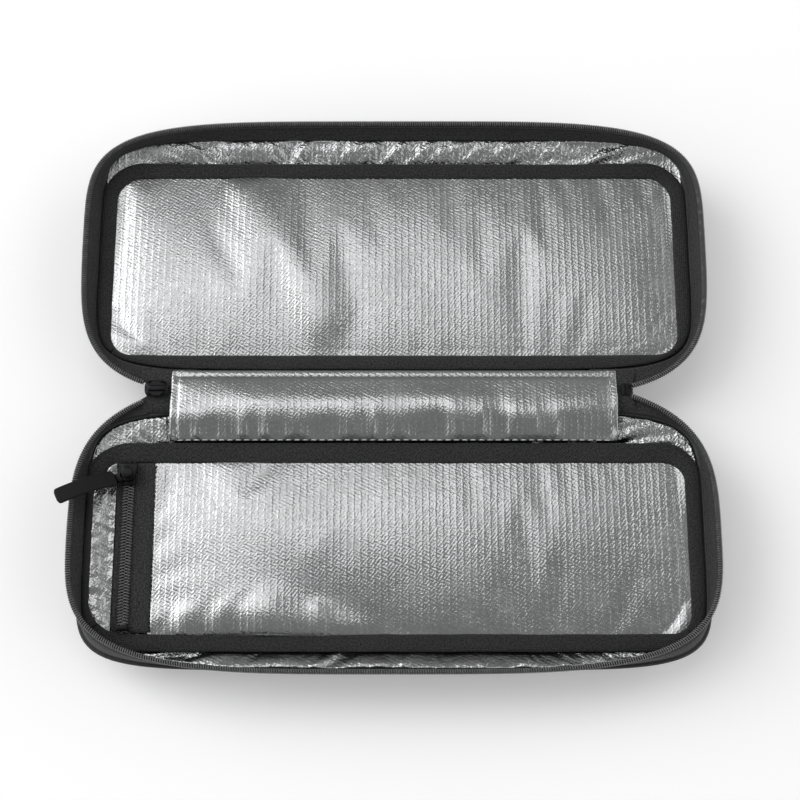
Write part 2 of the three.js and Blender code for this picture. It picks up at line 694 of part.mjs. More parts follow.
// Main slider: parked at the left neck, with its pull on the outer face, below
function mainSlider() {
  const reach = COIL_RADIUS + SEAM_GAP;
  const halfCheek = MAIN_LINK_THICKNESS / 2 + SEAM_GAP;
  const plate = (z0, z1) => {
    const half = SLIDER_LENGTH / 2;
    return boxBetween(-half, half, -MAIN_SLIDER_WIDTH / 2, MAIN_SLIDER_WIDTH / 2, z0, z1);
  };
  const cheeks = [-1, 1].map((side) => {
    const near = side * halfCheek;
    const far = side * (halfCheek + MAIN_CHEEK_THICKNESS);
    const [y0, y1] = [Math.min(near, far), Math.max(near, far)];
    const margin = MAIN_PIN_RADIUS + MAIN_CHEEK_MARGIN;
    return boxBetween(-margin, margin, y0, y1, MAIN_PIN_Z - margin, NECK_Z - reach - SLIDER_WING / 2);
  });
  const pinLength = 2 * halfCheek + MAIN_CHEEK_THICKNESS;
  const pin = new THREE.CylinderGeometry(MAIN_PIN_RADIUS, MAIN_PIN_RADIUS, pinLength, ROUND_SEGMENTS);
  const guide = boxBetween(
    -SLIDER_LENGTH / 2,
    -SLIDER_LENGTH / 2 + SLIDER_GUIDE_LENGTH,
    -SLIDER_GUIDE_WIDTH,
    SLIDER_GUIDE_WIDTH,
    NECK_Z - reach - SLIDER_WING / 2,
    NECK_Z + reach + SLIDER_WING / 2,
  );
  return joined(
    plate(NECK_Z + reach, NECK_Z + reach + SLIDER_WING),
    plate(NECK_Z - reach - SLIDER_WING, NECK_Z - reach),
    guide,
    ...cheeks,
    pin.translate(0, 0, MAIN_PIN_Z),
  );
}

function mainPull() {
  const eye = eyeLink(MAIN_EYE_RADIUS, MAIN_PIN_RADIUS + SEAM_GAP, LINK_ARM_WIDTH / 2, MAIN_LINK_THICKNESS);
  const tabRoot = LINK_REACH + SEAM_GAP;
  const line = new THREE.LineCurve(new THREE.Vector2(tabRoot, 0), new THREE.Vector2(TAB_REACH, 0));
  const link = eye.rotateX(Math.PI / 2).translate(0, MAIN_LINK_THICKNESS / 2, 0);
  const pull = groupOf(
    piece("main_pull_link", link, DARK_METAL),
    piece("main_pull_tab", pullTab(line), SOFT_TAB),
  );
  pull.position.set(MAIN_SLIDER_X, HINGE_Y, MAIN_PIN_Z);
  pull.rotation.y = THREE.MathUtils.degToRad(MAIN_PULL_DIP);
  return pull;
}

function mainStop() {
  const right = NECK_X - 2 * SEAM_GAP;
  const low = SHELL_DEPTH - SPINE_DROP + SEAM_GAP;
  const half = MAIN_STOP_WIDTH / 2;
  const top = NECK_Z + COIL_RADIUS;
  return boxBetween(right - MAIN_STOP_LENGTH, right, HINGE_Y - half, HINGE_Y + half, low, top);
}

// One half's shell, insulation, lining and zip edge
function halfCase(name, coil) {
  const stations = zipStations(coil);
  return [
    piece(`${name}_cover`, shell(), LEATHERETTE),
    piece(`${name}_insulation`, insulation(), FOAM),
    piece(`${name}_lining`, lining(), FOIL),
    piece(`${name}_zip_tape`, zipTape(stations), WEBBING),
    piece(`${name}_zip_coil`, zipCoil(stations), NYLON),
  ];
}

// Where the coils stop short of the main slider
const SLIDER_NECK_X = NECK_X + SLIDER_LENGTH / 2 + 2 * SEAM_GAP;
const BASE_COIL = {
  front: BASE_COIL_FRONT_SQUARENESS,
  hinge: BASE_COIL_HINGE_SQUARENESS,
  gap: BASE_NECK_GAP,
  rightEnd: NECK_X,
  leftEnd: SLIDER_NECK_X,
};
const LID_COIL = {
  front: LID_COIL_FRONT_SQUARENESS,
  hinge: LID_COIL_HINGE_SQUARENESS,
  gap: LID_NECK_GAP,
  rightEnd: SLIDER_NECK_X,
  leftEnd: NECK_X,
};

// Outlines of the pockets and of the base panel inside the zip
const LID_POCKET = {
  left: -(HALF_X - SIDE_INSET),
  right: HALF_X - SIDE_INSET,
  front: -(HALF_Y - LID_FRONT_INSET),
  hinge: HALF_Y - LID_HINGE_INSET,
  radii: [LID_FRONT_RADIUS, LID_FRONT_RADIUS, LID_HINGE_RADIUS, LID_HINGE_RADIUS],
  frontBinding: LID_FRONT_BINDING,
  hingeBinding: LID_HINGE_BINDING,
};
const BASE_POCKET = {
  left: -(HALF_X - SIDE_INSET),
  right: HALF_X - SIDE_INSET,
  front: -(HALF_Y - BASE_FRONT_INSET),
  hinge: HALF_Y - BASE_HINGE_INSET,
  radii: [BASE_LEFT_RADIUS, BASE_RIGHT_RADIUS, BASE_RIGHT_RADIUS, BASE_LEFT_RADIUS],
  frontBinding: BASE_FRONT_BINDING,
  hingeBinding: BASE_HINGE_BINDING,
};
const BASE_PANEL = { ...BASE_POCKET, left: POCKET_INNER_EDGE + SEAM_GAP };

// Pocket path parts: 0 and 8 left side, 1 front left, 3 front right, 5 hinge right, 7 hinge left
const FRONT_LEFT = 1;
const FRONT_RIGHT = 3;
const HINGE_RIGHT = 5;
const HINGE_LEFT = 7;

const coilNear = POCKET_COIL_GAP;
const coilFar = POCKET_COIL_GAP + POCKET_COIL_WIDTH;
const tapeTop = POCKET_ZIP_Z + POCKET_TAPE_THICKNESS;
const coilTop = POCKET_ZIP_Z + POCKET_COIL_HEIGHT;
const outerTape = pocketStrip(POCKET_OUTER_EDGE, POCKET_ZIP_X - coilFar - SEAM_GAP, POCKET_ZIP_Z, tapeTop);
const innerTape = pocketStrip(POCKET_ZIP_X + coilFar + SEAM_GAP, POCKET_INNER_EDGE, POCKET_ZIP_Z, tapeTop);
const outerCoil = pocketStrip(POCKET_ZIP_X - coilFar, POCKET_ZIP_X - coilNear, POCKET_ZIP_Z, coilTop);
const innerCoil = pocketStrip(POCKET_ZIP_X + coilNear, POCKET_ZIP_X + coilFar, POCKET_ZIP_Z, coilTop);
const bottomStop = boxBetween(
  POCKET_ZIP_X - coilFar,
  POCKET_ZIP_X + coilFar,
  POCKET_ZIP_FRONT + SEAM_GAP,
  POCKET_ZIP_FRONT + SEAM_GAP + POCKET_STOP_LENGTH,
  coilTop + SEAM_GAP,
  coilTop + SEAM_GAP + SLIDER_WING,
);

const base = groupOf(
  ...halfCase("base", BASE_COIL),
  piece("base_gel_pack", gelPack(BASE_PANEL), GEL),
  piece("base_pocket_panel", panel(BASE_PANEL), FOIL),
  piece("base_pocket_side_strip", sideStrip(), FOIL),
  piece("base_pocket_top_binding", binding(BASE_POCKET, FRONT_RIGHT, HINGE_LEFT), WEBBING),
  piece("base_pocket_bottom_binding", binding(BASE_POCKET, FRONT_LEFT, FRONT_RIGHT), WEBBING),
  piece("pocket_zip_outer_tape", outerTape, WEBBING),
  piece("pocket_zip_inner_tape", innerTape, WEBBING),
  piece("pocket_zip_outer_coil", outerCoil, NYLON),
  piece("pocket_zip_inner_coil", innerCoil, NYLON),
  piece("pocket_zip_stop", bottomStop, DARK_METAL),
  piece("spine_strip", spineStrip(), WEBBING),
  piece("hinge_flap", hingeFlap(), FOIL),
  piece("main_zip_slider", mainSlider().translate(MAIN_SLIDER_X, HINGE_Y, 0), DARK_METAL),
  piece("main_zip_stop", mainStop(), DARK_METAL),
);

// The lid is the other half turned round, with its fold line on the same axis
const lid = groupOf(
  ...halfCase("lid", LID_COIL),
  piece("lid_gel_pack", gelPack(LID_POCKET), GEL),
  piece("lid_pocket_panel", panel(LID_POCKET), FOIL),
  piece("lid_pocket_edge_binding", binding(LID_POCKET, HINGE_LEFT, HINGE_RIGHT), WEBBING),
  piece("lid_pocket_hinge_binding", binding(LID_POCKET, HINGE_RIGHT, HINGE_LEFT), WEBBING),
);
lid.position.y = 2 * HINGE_Y;
lid.rotation.z = Math.PI;

const slider = piece("pocket_zip_slider", pocketSlider(), DARK_METAL);
slider.position.set(POCKET_ZIP_X, POCKET_SLIDER_Y, 0);

const coolingCase = groupOf(base, lid, slider, pocketPull(), mainPull());

export default coolingCase;
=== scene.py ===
import json
import math

import bpy
import numpy as np
from bpy.props import FloatProperty, FloatVectorProperty, PointerProperty
from mathutils import Matrix, Vector, noise


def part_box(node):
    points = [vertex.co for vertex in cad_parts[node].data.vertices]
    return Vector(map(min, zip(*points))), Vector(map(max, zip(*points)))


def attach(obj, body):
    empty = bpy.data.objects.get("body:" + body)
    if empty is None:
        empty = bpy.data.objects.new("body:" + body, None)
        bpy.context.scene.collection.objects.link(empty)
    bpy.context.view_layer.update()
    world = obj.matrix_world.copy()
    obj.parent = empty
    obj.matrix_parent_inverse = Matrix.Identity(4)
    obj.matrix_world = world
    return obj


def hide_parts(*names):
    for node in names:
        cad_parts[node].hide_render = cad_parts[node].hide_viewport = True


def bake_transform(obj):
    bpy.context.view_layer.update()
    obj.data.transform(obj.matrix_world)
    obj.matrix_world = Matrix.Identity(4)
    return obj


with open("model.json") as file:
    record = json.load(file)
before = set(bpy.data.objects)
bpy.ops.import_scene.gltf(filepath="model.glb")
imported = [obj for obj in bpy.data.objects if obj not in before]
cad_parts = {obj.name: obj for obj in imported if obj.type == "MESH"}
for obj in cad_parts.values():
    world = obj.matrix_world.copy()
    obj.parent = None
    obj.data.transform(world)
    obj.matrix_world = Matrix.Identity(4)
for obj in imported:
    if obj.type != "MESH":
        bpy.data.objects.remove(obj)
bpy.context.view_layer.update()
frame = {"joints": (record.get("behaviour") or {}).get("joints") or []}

bl_info = {
    "name": "Insulin cooling case",
    "version": (1, 0, 0),
    "blender": (4, 5, 0),
    "location": "View3D > Sidebar > Cooling case",
    "description": "Dresses the open cooling case in foil, webbing, zips and leatherette",
    "category": "Object",
}

MM = 0.001
UP = np.array([0, 0, 1.0])
HALVES = ("base", "lid")

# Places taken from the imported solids. One half is drawn about its own centre with the fold on its +Y side,
# and the lid is the same half turned round the fold.
JOINT = {joint["name"]: joint for joint in frame["joints"]}
FOLD_Y, CLOSING_Z = JOINT["lid_fold"]["pos_m"][1:]
HALF_X, HALF_Y, RIM_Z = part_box("base_cover")[1]

# Sizes that shape more than one piece
SEAM = 0.3 * MM
SHELL_POWER = 7
OUTSIDE_REACH = 12 * MM
COVER_WALL = 1.6 * MM
FOOT_INSET = 3 * MM
FOOT_RADIUS = 7 * MM
LINING_INSETS = np.array([2.2, 5.0, 11.0, 14.5]) * MM
LINING_HEIGHTS = np.array([16.0, 15.4, 13.6, 6.8]) * MM
SEAT_INSET = 9 * MM
POCKET_RADII = {"base": (13, 7.5, 8, 13), "lid": (10, 10, 8.5, 8.5)}
POCKET_OVERHANG = 2.8 * MM
BINDING_SIDE = 4.2 * MM
COIL_RADIUS = 1 * MM
COIL_HALF_X = HALF_X + 2.4 * MM
COIL_FRONT_Y = HALF_Y + 2.4 * MM
COIL_FRONT_POWER = {"base": 3.8, "lid": 4.6}
COIL_HINGE_POWER = {"base": 3.4, "lid": 4.3}
COIL_Z = CLOSING_Z - SEAM / 2 - COIL_RADIUS
NECK_X = COIL_HALF_X - 26.4 * MM
NECK_Y = {"base": FOLD_Y - 2.4 * MM, "lid": FOLD_Y - 1.2 * MM}
NECK_Z = RIM_Z + 2.5 * MM
NECK_RAMP = 60 * MM
SLIDER_SIDE_END = 87.1 * MM
LINING_THICKNESS = 0.4 * MM
PADDED_THICKNESS = 0.9 * MM
STRIP_THICKNESS = 0.5 * MM
SPINE_THICKNESS = 1.1 * MM
LINK_REACH = 7.5 * MM
TAB_WIDTH = 5.4 * MM
TAB_THICKNESS = 1.4 * MM
TAB_CORNER = 1.3 * MM
TAB_END = 24.5 * MM
POCKET_PULL_HEADING = math.radians(205)
MAIN_PULL_DIP = math.radians(30)

# Numbers of steps and sides
OUTLINE_STEPS = 4000
COIL_LINE_STEPS = 6000
COIL_TURN_STEPS = 10
POCKET_TURN_STEPS = 12
ZIP_STEP = 1.0 * MM
CORNER_STEPS = 25
ROUND_SIDES = 40
HALVINGS = 36
CLOTH_STEPS = 22

# Smooth noise: how far each seed shifts it, and what brings it to about -1 to 1
SEED_SHIFT = (7.3, 3.1, 5.7)
NOISE_GAIN = 1.6


class CaseSizes(bpy.types.PropertyGroup):
    """Sizes of the visible detail"""

    coil_pitch: FloatProperty(
        name="Main coil pitch", description="Length of one turn of the main zip's coil",
        default=0.8 * MM, unit="LENGTH", precision=5)
    coil_wire: FloatProperty(
        name="Main coil wire", description="Radius of the nylon wire of the main coil",
        default=0.24 * MM, unit="LENGTH", precision=5)
    pocket_pitch: FloatProperty(
        name="Pocket zip pitch", description="Length of one tooth of the pocket zip",
        default=1.0 * MM, unit="LENGTH", precision=5)
    stitch_length: FloatProperty(
        name="Stitch length", description="Length of one visible stitch",
        default=2.2 * MM, unit="LENGTH", precision=5)
    stitch_gap: FloatProperty(
        name="Stitch gap", description="Space between two stitches",
        default=0.7 * MM, unit="LENGTH", precision=5)
    thread: FloatProperty(
        name="Thread", description="Radius of the sewing thread",
        default=0.17 * MM, unit="LENGTH", precision=5)
    foil_stripe: FloatProperty(
        name="Foil stripe", description="Distance between two woven lines of the foil",
        default=2.33 * MM, unit="LENGTH", precision=5)
    foil_tick: FloatProperty(
        name="Foil tick", description="Distance between two slanted ticks of the foil",
        default=1.15 * MM, unit="LENGTH", precision=5)
    pucker: FloatProperty(
        name="Pucker", description="Room for gathers above the solid pocket panels",
        default=0.9 * MM, unit="LENGTH", precision=5)


class CaseColours(bpy.types.PropertyGroup):
    """Colours of the finishes"""

    foil: FloatVectorProperty(
        name="Foil", description="Silver laminate of pockets and lining", subtype="COLOR",
        size=3, min=0, max=1, default=(0.45, 0.454, 0.458))
    webbing: FloatVectorProperty(
        name="Webbing", description="Black tape of the zips", subtype="COLOR",
        size=3, min=0, max=1, default=(0.02, 0.02, 0.0205))
    binding: FloatVectorProperty(
        name="Binding", description="Black tape bound round the pockets", subtype="COLOR",
        size=3, min=0, max=1, default=(0.014, 0.014, 0.0145))
    coil: FloatVectorProperty(
        name="Coil", description="Nylon of the zip coils", subtype="COLOR",
        size=3, min=0, max=1, default=(0.12, 0.12, 0.123))
    leatherette: FloatVectorProperty(
        name="Leatherette", description="Outer skin of both shells", subtype="COLOR",
        size=3, min=0, max=1, default=(0.024, 0.0245, 0.026))
    metal: FloatVectorProperty(
        name="Slider metal", description="Black plated zip sliders and links", subtype="COLOR",
        size=3, min=0, max=1, default=(0.012, 0.012, 0.013))
    rubber: FloatVectorProperty(
        name="Pull tab", description="Rubberised pull tabs", subtype="COLOR",
        size=3, min=0, max=1, default=(0.007, 0.007, 0.0074))
    thread: FloatVectorProperty(
        name="Thread", description="Grey sewing thread on the foil", subtype="COLOR",
        size=3, min=0, max=1, default=(0.62, 0.62, 0.62))
    foam: FloatVectorProperty(
        name="Foam", description="Insulation between shell and lining", subtype="COLOR",
        size=3, min=0, max=1, default=(0.78, 0.78, 0.75))
    gel: FloatVectorProperty(
        name="Gel pack", description="Cold packs behind the pocket panels", subtype="COLOR",
        size=3, min=0, max=1, default=(0.25, 0.48, 0.66))
    floor: FloatVectorProperty(
        name="Floor", description="Paper under the case", subtype="COLOR",
        size=3, min=0, max=1, default=(0.94, 0.94, 0.94))


# Plan outlines and heights
def superellipse(half_x, half_y, power, angle):
    """Points of an oval that is squarer for a higher power"""
    c, s = np.cos(angle), np.sin(angle)
    x = half_x * np.sign(c) * np.abs(c) ** (2 / power)
    y = half_y * np.sign(s) * np.abs(s) ** (2 / power)
    return np.stack([x, y], axis=-1)


def unit(vectors):
    """The same directions, each one long"""
    return vectors / np.linalg.norm(vectors, axis=-1)[..., None]


def level(outline, z):
    """Plan points raised to one height"""
    return np.column_stack([outline, np.full(len(outline), z)])


def all_up(points):
    """An upward direction for each point"""
    return np.tile(UP, (len(points), 1))


def outward_of(outline):
    """Level outward directions at the points of a closed outline"""
    ahead = np.roll(outline, -1, axis=0) - np.roll(outline, 1, axis=0)
    return unit(level(np.column_stack([ahead[:, 1], -ahead[:, 0]]), 0))


def run_along(line):
    """How far along a polyline each of its points lies"""
    return np.concatenate([[0], np.cumsum(np.linalg.norm(np.diff(line, axis=0), axis=1))])


def points_at(places, run, line):
    """Points at given distances along a polyline"""
    return np.stack([np.interp(places, run, line[:, k]) for k in range(line.shape[1])], axis=1)


def even_steps(line, count, closed=False):
    """The same polyline with its points spread evenly along it"""
    path = np.vstack([line, line[:1]]) if closed else line
    run = run_along(path)
    return points_at(np.linspace(0, run[-1], count, endpoint=not closed), run, path)


def shell_outline(inset, count):
    """Even points of the shell's outline, drawn in by an inset"""
    angle = np.linspace(0, 2 * np.pi, OUTLINE_STEPS, endpoint=False)
    line = superellipse(HALF_X - inset, HALF_Y - inset, SHELL_POWER, angle)
    return even_steps(line, count, closed=True)


def bisect(past, low, high):
    """Where a rising test first holds, for a whole array at once"""
    for _ in range(HALVINGS):
        middle = (low + high) / 2
        over = past(middle)
        high = np.where(over, middle, high)
        low = np.where(over, low, middle)
    return (low + high) / 2


def beyond_shell(points, inset):
    """Whether points lie outside the shell's outline drawn in by an inset"""
    x = np.abs(points[..., 0]) / (HALF_X - inset)
    y = np.abs(points[..., 1]) / (HALF_Y - inset)
    return x**SHELL_POWER + y**SHELL_POWER > 1


def inset_at(points):
    """How far inside the shell's outline points lie"""
    low = np.full(points.shape[:-1], -OUTSIDE_REACH)
    high = np.full(points.shape[:-1], HALF_Y - SEAM)
    return bisect(lambda inset: beyond_shell(points, inset), low, high)


def reach_to_shell(points, direction, inset):
    """How far it is from points to the drawn-in outline, along their directions"""
    at = lambda d: points + direction * d[..., None]
    low = np.full(len(points), -HALF_Y / 2)
    high = np.full(len(points), HALF_Y / 2)
    return bisect(lambda d: beyond_shell(at(d), inset), low, high)


def seat_height(points):
    """Height of the lining where the pockets rest on it"""
    inset = np.minimum(inset_at(points), SEAT_INSET)
    return np.interp(inset, LINING_INSETS, LINING_HEIGHTS) + SEAM


def place(points, half):
    """Points of one half in the frame of the whole case"""
    points = np.array(points, float)
    if half == "lid":
        points[..., 0] *= -1
        points[..., 1] = 2 * FOLD_Y - points[..., 1]
    return points


def turned_round(directions, half):
    """Directions of one half in the frame of the whole case"""
    return directions * ([-1, -1, 1] if half == "lid" else [1, 1, 1])


def smoothstep(x, low, high):
    t = np.clip((x - low) / (high - low), 0, 1)
    return t * t * (3 - 2 * t)


def ripple(points, pitch, seed):
    """Smooth noise from -1 to 1 with features about one pitch apart"""
    flat = points.reshape(-1, points.shape[-1]) / pitch
    offset = Vector([seed * shift for shift in SEED_SHIFT])
    values = [noise.noise(Vector((*p, 0, 0)[:3]) + offset) for p in flat]
    return np.array(values).reshape(points.shape[:-1]) * NOISE_GAIN


def pocket_outline(half):
    """Corners of the bound pocket in the frame of its half, and its corner radii"""
    low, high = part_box(f"{half}_pocket_panel")
    ends = place([low, high], half)
    left, right = sorted(ends[:, 0])
    front, hinge = sorted(ends[:, 1])
    if half == "base":
        left = -right - POCKET_OVERHANG
    return left, right, front, hinge, [radius * MM for radius in POCKET_RADII[half]]


def rounded_path(left, right, front, hinge, radii):
    """The outline from the middle of its left side by way of the front, and how far along it each corner lies"""
    corners = [
        (left + radii[0], front + radii[0], radii[0], math.pi),
        (right - radii[1], front + radii[1], radii[1], 1.5 * math.pi),
        (right - radii[2], hinge - radii[2], radii[2], 0),
        (left + radii[3], hinge - radii[3], radii[3], 0.5 * math.pi),
    ]
    points = [np.array([[left, (front + hinge) / 2]])]
    middles = []
    for x, y, radius, start in corners:
        turn = start + np.linspace(0, math.pi / 2, CORNER_STEPS)
        points.append(np.stack([x + radius * np.cos(turn), y + radius * np.sin(turn)], axis=1))
        middles.append(sum(len(p) for p in points) - (CORNER_STEPS + 1) // 2)
    points.append(points[0])
    line = np.vstack(points)
    run = run_along(line)
    return line, run, [run[k] for k in middles]


def path_between(line, run, start, stop, step):
    """Even points on a closed outline between two distances along it, with outward directions"""
    places = np.linspace(start, stop, int((stop - start) / step) + 1)
    near = 0.6 * MM
    at = lambda s: points_at(s % run[-1], run, line)
    ahead = unit(at(places + near) - at(places - near))
    return at(places), np.stack([ahead[:, 1], -ahead[:, 0]], axis=1), places


def corner_draw(gap, radius):
    """How far a rounded corner draws an edge in, by the gap to the corner's other edge"""
    return radius - np.sqrt(np.maximum(radius**2 - np.maximum(radius - gap, 0) ** 2, 0))


# Meshes
def deselect():
    bpy.ops.object.select_all(action="DESELECT")


def make_active(obj):
    deselect()
    obj.select_set(True)
    bpy.context.view_layer.objects.active = obj


def apply_modifiers(obj):
    make_active(obj)
    for modifier in list(obj.modifiers):
        bpy.ops.object.modifier_apply(modifier=modifier.name)
    return obj


def mesh_object(name, points, faces, corner_uvs):
    mesh = bpy.data.meshes.new(name)
    mesh.from_pydata([tuple(p) for p in points], [], faces)
    layer = mesh.uv_layers.new(name="Weave")
    layer.data.foreach_set("uv", np.asarray(corner_uvs, np.float32).ravel())
    mesh.validate()
    mesh.shade_smooth()
    obj = bpy.data.objects.new(name, mesh)
    bpy.context.scene.collection.objects.link(obj)
    return obj


def skin(name, rings, loop=False):
    """A closed skin over rings of points. Its UV map runs in metres, along the rings and round them."""
    rings = np.asarray(rings, float)
    count, around = rings.shape[:2]
    hops = np.linalg.norm(np.roll(rings, -1, axis=0) - rings, axis=2).mean(axis=1)
    along = np.concatenate([[0], np.cumsum(hops)])
    hops = np.linalg.norm(np.roll(rings, -1, axis=1) - rings, axis=2).mean(axis=0)
    across = np.concatenate([[0], np.cumsum(hops)])
    faces, uvs = [], []
    for s in range(count if loop else count - 1):
        t = (s + 1) % count
        for n in range(around):
            m = (n + 1) % around
            faces.append([s * around + n, s * around + m, t * around + m, t * around + n])
            uvs.append([(along[s], across[n]), (along[s], across[n + 1]),
                        (along[s + 1], across[n + 1]), (along[s + 1], across[n])])
    if not loop:
        ends = [list(range(around))[::-1], list(range((count - 1) * around, count * around))]
        for face, at in zip(ends, (0, count - 1)):
            faces.append(face)
            uvs.append([(along[at], across[k % around]) for k in face])
    points = rings.reshape(-1, 3)
    volume = sum(np.dot(points[f[0]], np.cross(points[f[1]], points[f[2]]))
                 + np.dot(points[f[0]], np.cross(points[f[2]], points[f[-1]])) for f in faces)
    if volume < 0:
        faces = [f[::-1] for f in faces]
        uvs = [u[::-1] for u in uvs]
    return mesh_object(name, points, faces, [uv for face in uvs for uv in face])


def open_sheet(name, grid):
    """A single sheet over rows and columns of points, facing up"""
    rows, columns = grid.shape[:2]
    u = np.cumsum(np.linalg.norm(np.diff(grid, axis=1, prepend=grid[:, :1]), axis=2).mean(axis=0))
    v = np.cumsum(np.linalg.norm(np.diff(grid, axis=0, prepend=grid[:1]), axis=2).mean(axis=1))
    faces, uvs = [], []
    for r in range(rows - 1):
        for c in range(columns - 1):
            a = r * columns + c
            faces.append([a, a + 1, a + columns + 1, a + columns])
            uvs += [(u[c], v[r]), (u[c + 1], v[r]), (u[c + 1], v[r + 1]), (u[c], v[r + 1])]
    corner = np.cross(grid[0, 1] - grid[0, 0], grid[1, 0] - grid[0, 0])
    if corner[2] < 0:
        faces = [f[::-1] for f in faces]
        uvs = [uvs[k + j] for k in range(0, len(uvs), 4) for j in (3, 2, 1, 0)]
    return mesh_object(name, grid.reshape(-1, 3), faces, uvs)


def thicken(obj, thickness):
    wall = obj.modifiers.new("Wall", "SOLIDIFY")
    wall.thickness = thickness
    wall.offset = -1
    return apply_modifiers(obj)


def settle_cloth(obj, sewn, gathered, slack, fullness, pressure, bend):
    """Swells a sheet that is sewn down at some points: a cloth simulation, applied to the mesh.

    slack is how much longer the cloth is than the space it fills, and fullness how much longer where it is gathered.
    """
    pins = obj.vertex_groups.new(name="Sewn")
    pins.add([int(i) for i in np.flatnonzero(sewn)], 1.0, "REPLACE")
    full = obj.vertex_groups.new(name="Gathered")
    for index, weight in enumerate(gathered):
        full.add([index], float(weight), "REPLACE")
    cloth = obj.modifiers.new("Swell", "CLOTH")
    cloth.collision_settings.use_collision = False
    fabric = cloth.settings
    fabric.quality = 5
    fabric.mass = 0.001
    fabric.air_damping = 1
    fabric.tension_stiffness = fabric.compression_stiffness = 15
    fabric.shear_stiffness = 7.5
    fabric.bending_stiffness = bend
    fabric.vertex_group_mass = "Sewn"
    fabric.vertex_group_shrink = "Gathered"
    fabric.shrink_min, fabric.shrink_max = -slack, -fullness
    fabric.use_pressure = True
    fabric.uniform_pressure_force = pressure
    fabric.effector_weights.gravity = 0
    for step in range(1, CLOTH_STEPS + 1):
        bpy.context.scene.frame_set(step)
    apply_modifiers(obj)
    bpy.context.scene.frame_set(1)
    obj.vertex_groups.clear()


def mesh_points(obj):
    points = np.empty(len(obj.data.vertices) * 3)
    obj.data.vertices.foreach_get("co", points)
    return points.reshape(-1, 3)


def move_points(obj, points):
    obj.data.vertices.foreach_set("co", np.asarray(points, np.float32).ravel())
    obj.data.update()


def smoothed(obj):
    soft = obj.modifiers.new("Soft", "SUBSURF")
    soft.levels = soft.render_levels = 1
    return apply_modifiers(obj)


def round_rings(line, side, lift, radius, sides):
    """Rings of points round a line"""
    turn = np.linspace(0, 2 * np.pi, sides, endpoint=False)[None, :, None]
    return line[:, None] + radius * (np.cos(turn) * side[:, None] + np.sin(turn) * lift[:, None])


def tube(name, line, radius, sides, outward):
    """A round cord along a line of points. outward points away from the line's inside."""
    ahead = unit(np.gradient(line, axis=0))
    side = unit(outward - ahead * np.sum(outward * ahead, axis=1)[:, None])
    return skin(name, round_rings(line, side, np.cross(ahead, side), radius, sides))


def stitch_row(name, line, up, sizes):
    """Short stitches along a line of points, each drawn down into the cloth at both ends"""
    run = run_along(line)
    swell = np.array([0.25, 0.9, 1, 0.9, 0.25])[:, None, None] * sizes.thread
    sink = (np.array([-0.9, 0.25, 0.5, 0.25, -0.9]) * sizes.thread)[:, None]
    pieces = []
    for start in np.arange(0, run[-1] - sizes.stitch_length, sizes.stitch_length + sizes.stitch_gap):
        places = start + np.linspace(0, 1, 5) * sizes.stitch_length
        centre, lift = points_at(places, run, line), points_at(places, run, up)
        side = unit(np.cross(lift, centre[-1] - centre[0]))
        rings = round_rings(centre + lift * sink, side, lift, swell, 6)
        pieces.append(skin(f"{name}_{len(pieces)}", rings))
    deselect()
    for obj in pieces:
        obj.select_set(True)
    bpy.context.view_layer.objects.active = pieces[0]
    bpy.ops.object.join()
    pieces[0].name = name
    return pieces[0]


def block(name, low, high, bevel=0):
    """A box between two corners with rounded edges"""
    deselect()
    low, high = Vector(low), Vector(high)
    bpy.ops.mesh.primitive_cube_add(size=1, location=(low + high) / 2, scale=high - low)
    obj = bpy.context.object
    obj.name = name
    bpy.ops.object.transform_apply(location=True, rotation=True, scale=True)
    if bevel:
        round_edges(obj, bevel)
    return obj


def round_edges(obj, width, segments=3):
    """Rounds the sharp edges of a piece"""
    edge = obj.modifiers.new("Rounded", "BEVEL")
    edge.width = width
    edge.segments = segments
    edge.limit_method = "ANGLE"
    edge.angle_limit = math.radians(40)
    return apply_modifiers(obj)


def drum(name, centre, radius, low, high, axis="Z"):
    """An upright or lying cylinder between two levels"""
    deselect()
    turn = {"Z": (0, 0, 0), "Y": (math.pi / 2, 0, 0)}[axis]
    middle = Vector(centre)
    middle["XYZ".index(axis)] = (low + high) / 2
    bpy.ops.mesh.primitive_cylinder_add(vertices=ROUND_SIDES, radius=radius, depth=high - low,
                                        location=middle, rotation=turn)
    obj = bpy.context.object
    obj.name = name
    bpy.ops.object.transform_apply(location=True, rotation=True, scale=True)
    return obj


def combine(obj, other, operation="UNION"):
    """Joins another piece to a piece, or cuts it away, and uses it up"""
    cut = obj.modifiers.new("Joined", "BOOLEAN")
    cut.object = other
    cut.operation = operation
    cut.solver = "EXACT"
    apply_modifiers(obj)
    bpy.data.objects.remove(other)
    return obj


def join_block(obj, low, high, bevel=0):
    """Joins a box between two corners to a piece"""
    return combine(obj, block("joined_block", low, high, bevel))


def edit_picked(obj, kind, wanted, work):
    """Runs an edit-mode operator on the faces or points that a test picks"""
    make_active(obj)
    bpy.ops.object.mode_set(mode="EDIT")
    bpy.ops.mesh.select_mode(type=kind)
    bpy.ops.mesh.select_all(action="DESELECT")
    bpy.ops.object.mode_set(mode="OBJECT")
    for element in obj.data.polygons if kind == "FACE" else obj.data.vertices:
        element.select = wanted(element)
    bpy.ops.object.mode_set(mode="EDIT")
    work()
    bpy.ops.object.mode_set(mode="OBJECT")


def dress(obj, finish, slot, *nodes, body=None, smooth=None):
    """Gives a finished piece its material, hides the solids it stands for and hangs it on the body it rides on. The
    slot is not used.
    """
    obj.data.materials.clear()
    obj.data.materials.append(bpy.data.materials[finish])
    if smooth is not None:
        make_active(obj)
        bpy.ops.object.shade_smooth_by_angle(angle=math.radians(smooth))
    if nodes:
        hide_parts(*nodes)
    if body:
        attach(obj, body)
    return obj


def across_fold(obj):
    """Bakes the place of a sewn piece near the fold into its mesh"""
    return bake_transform(obj)


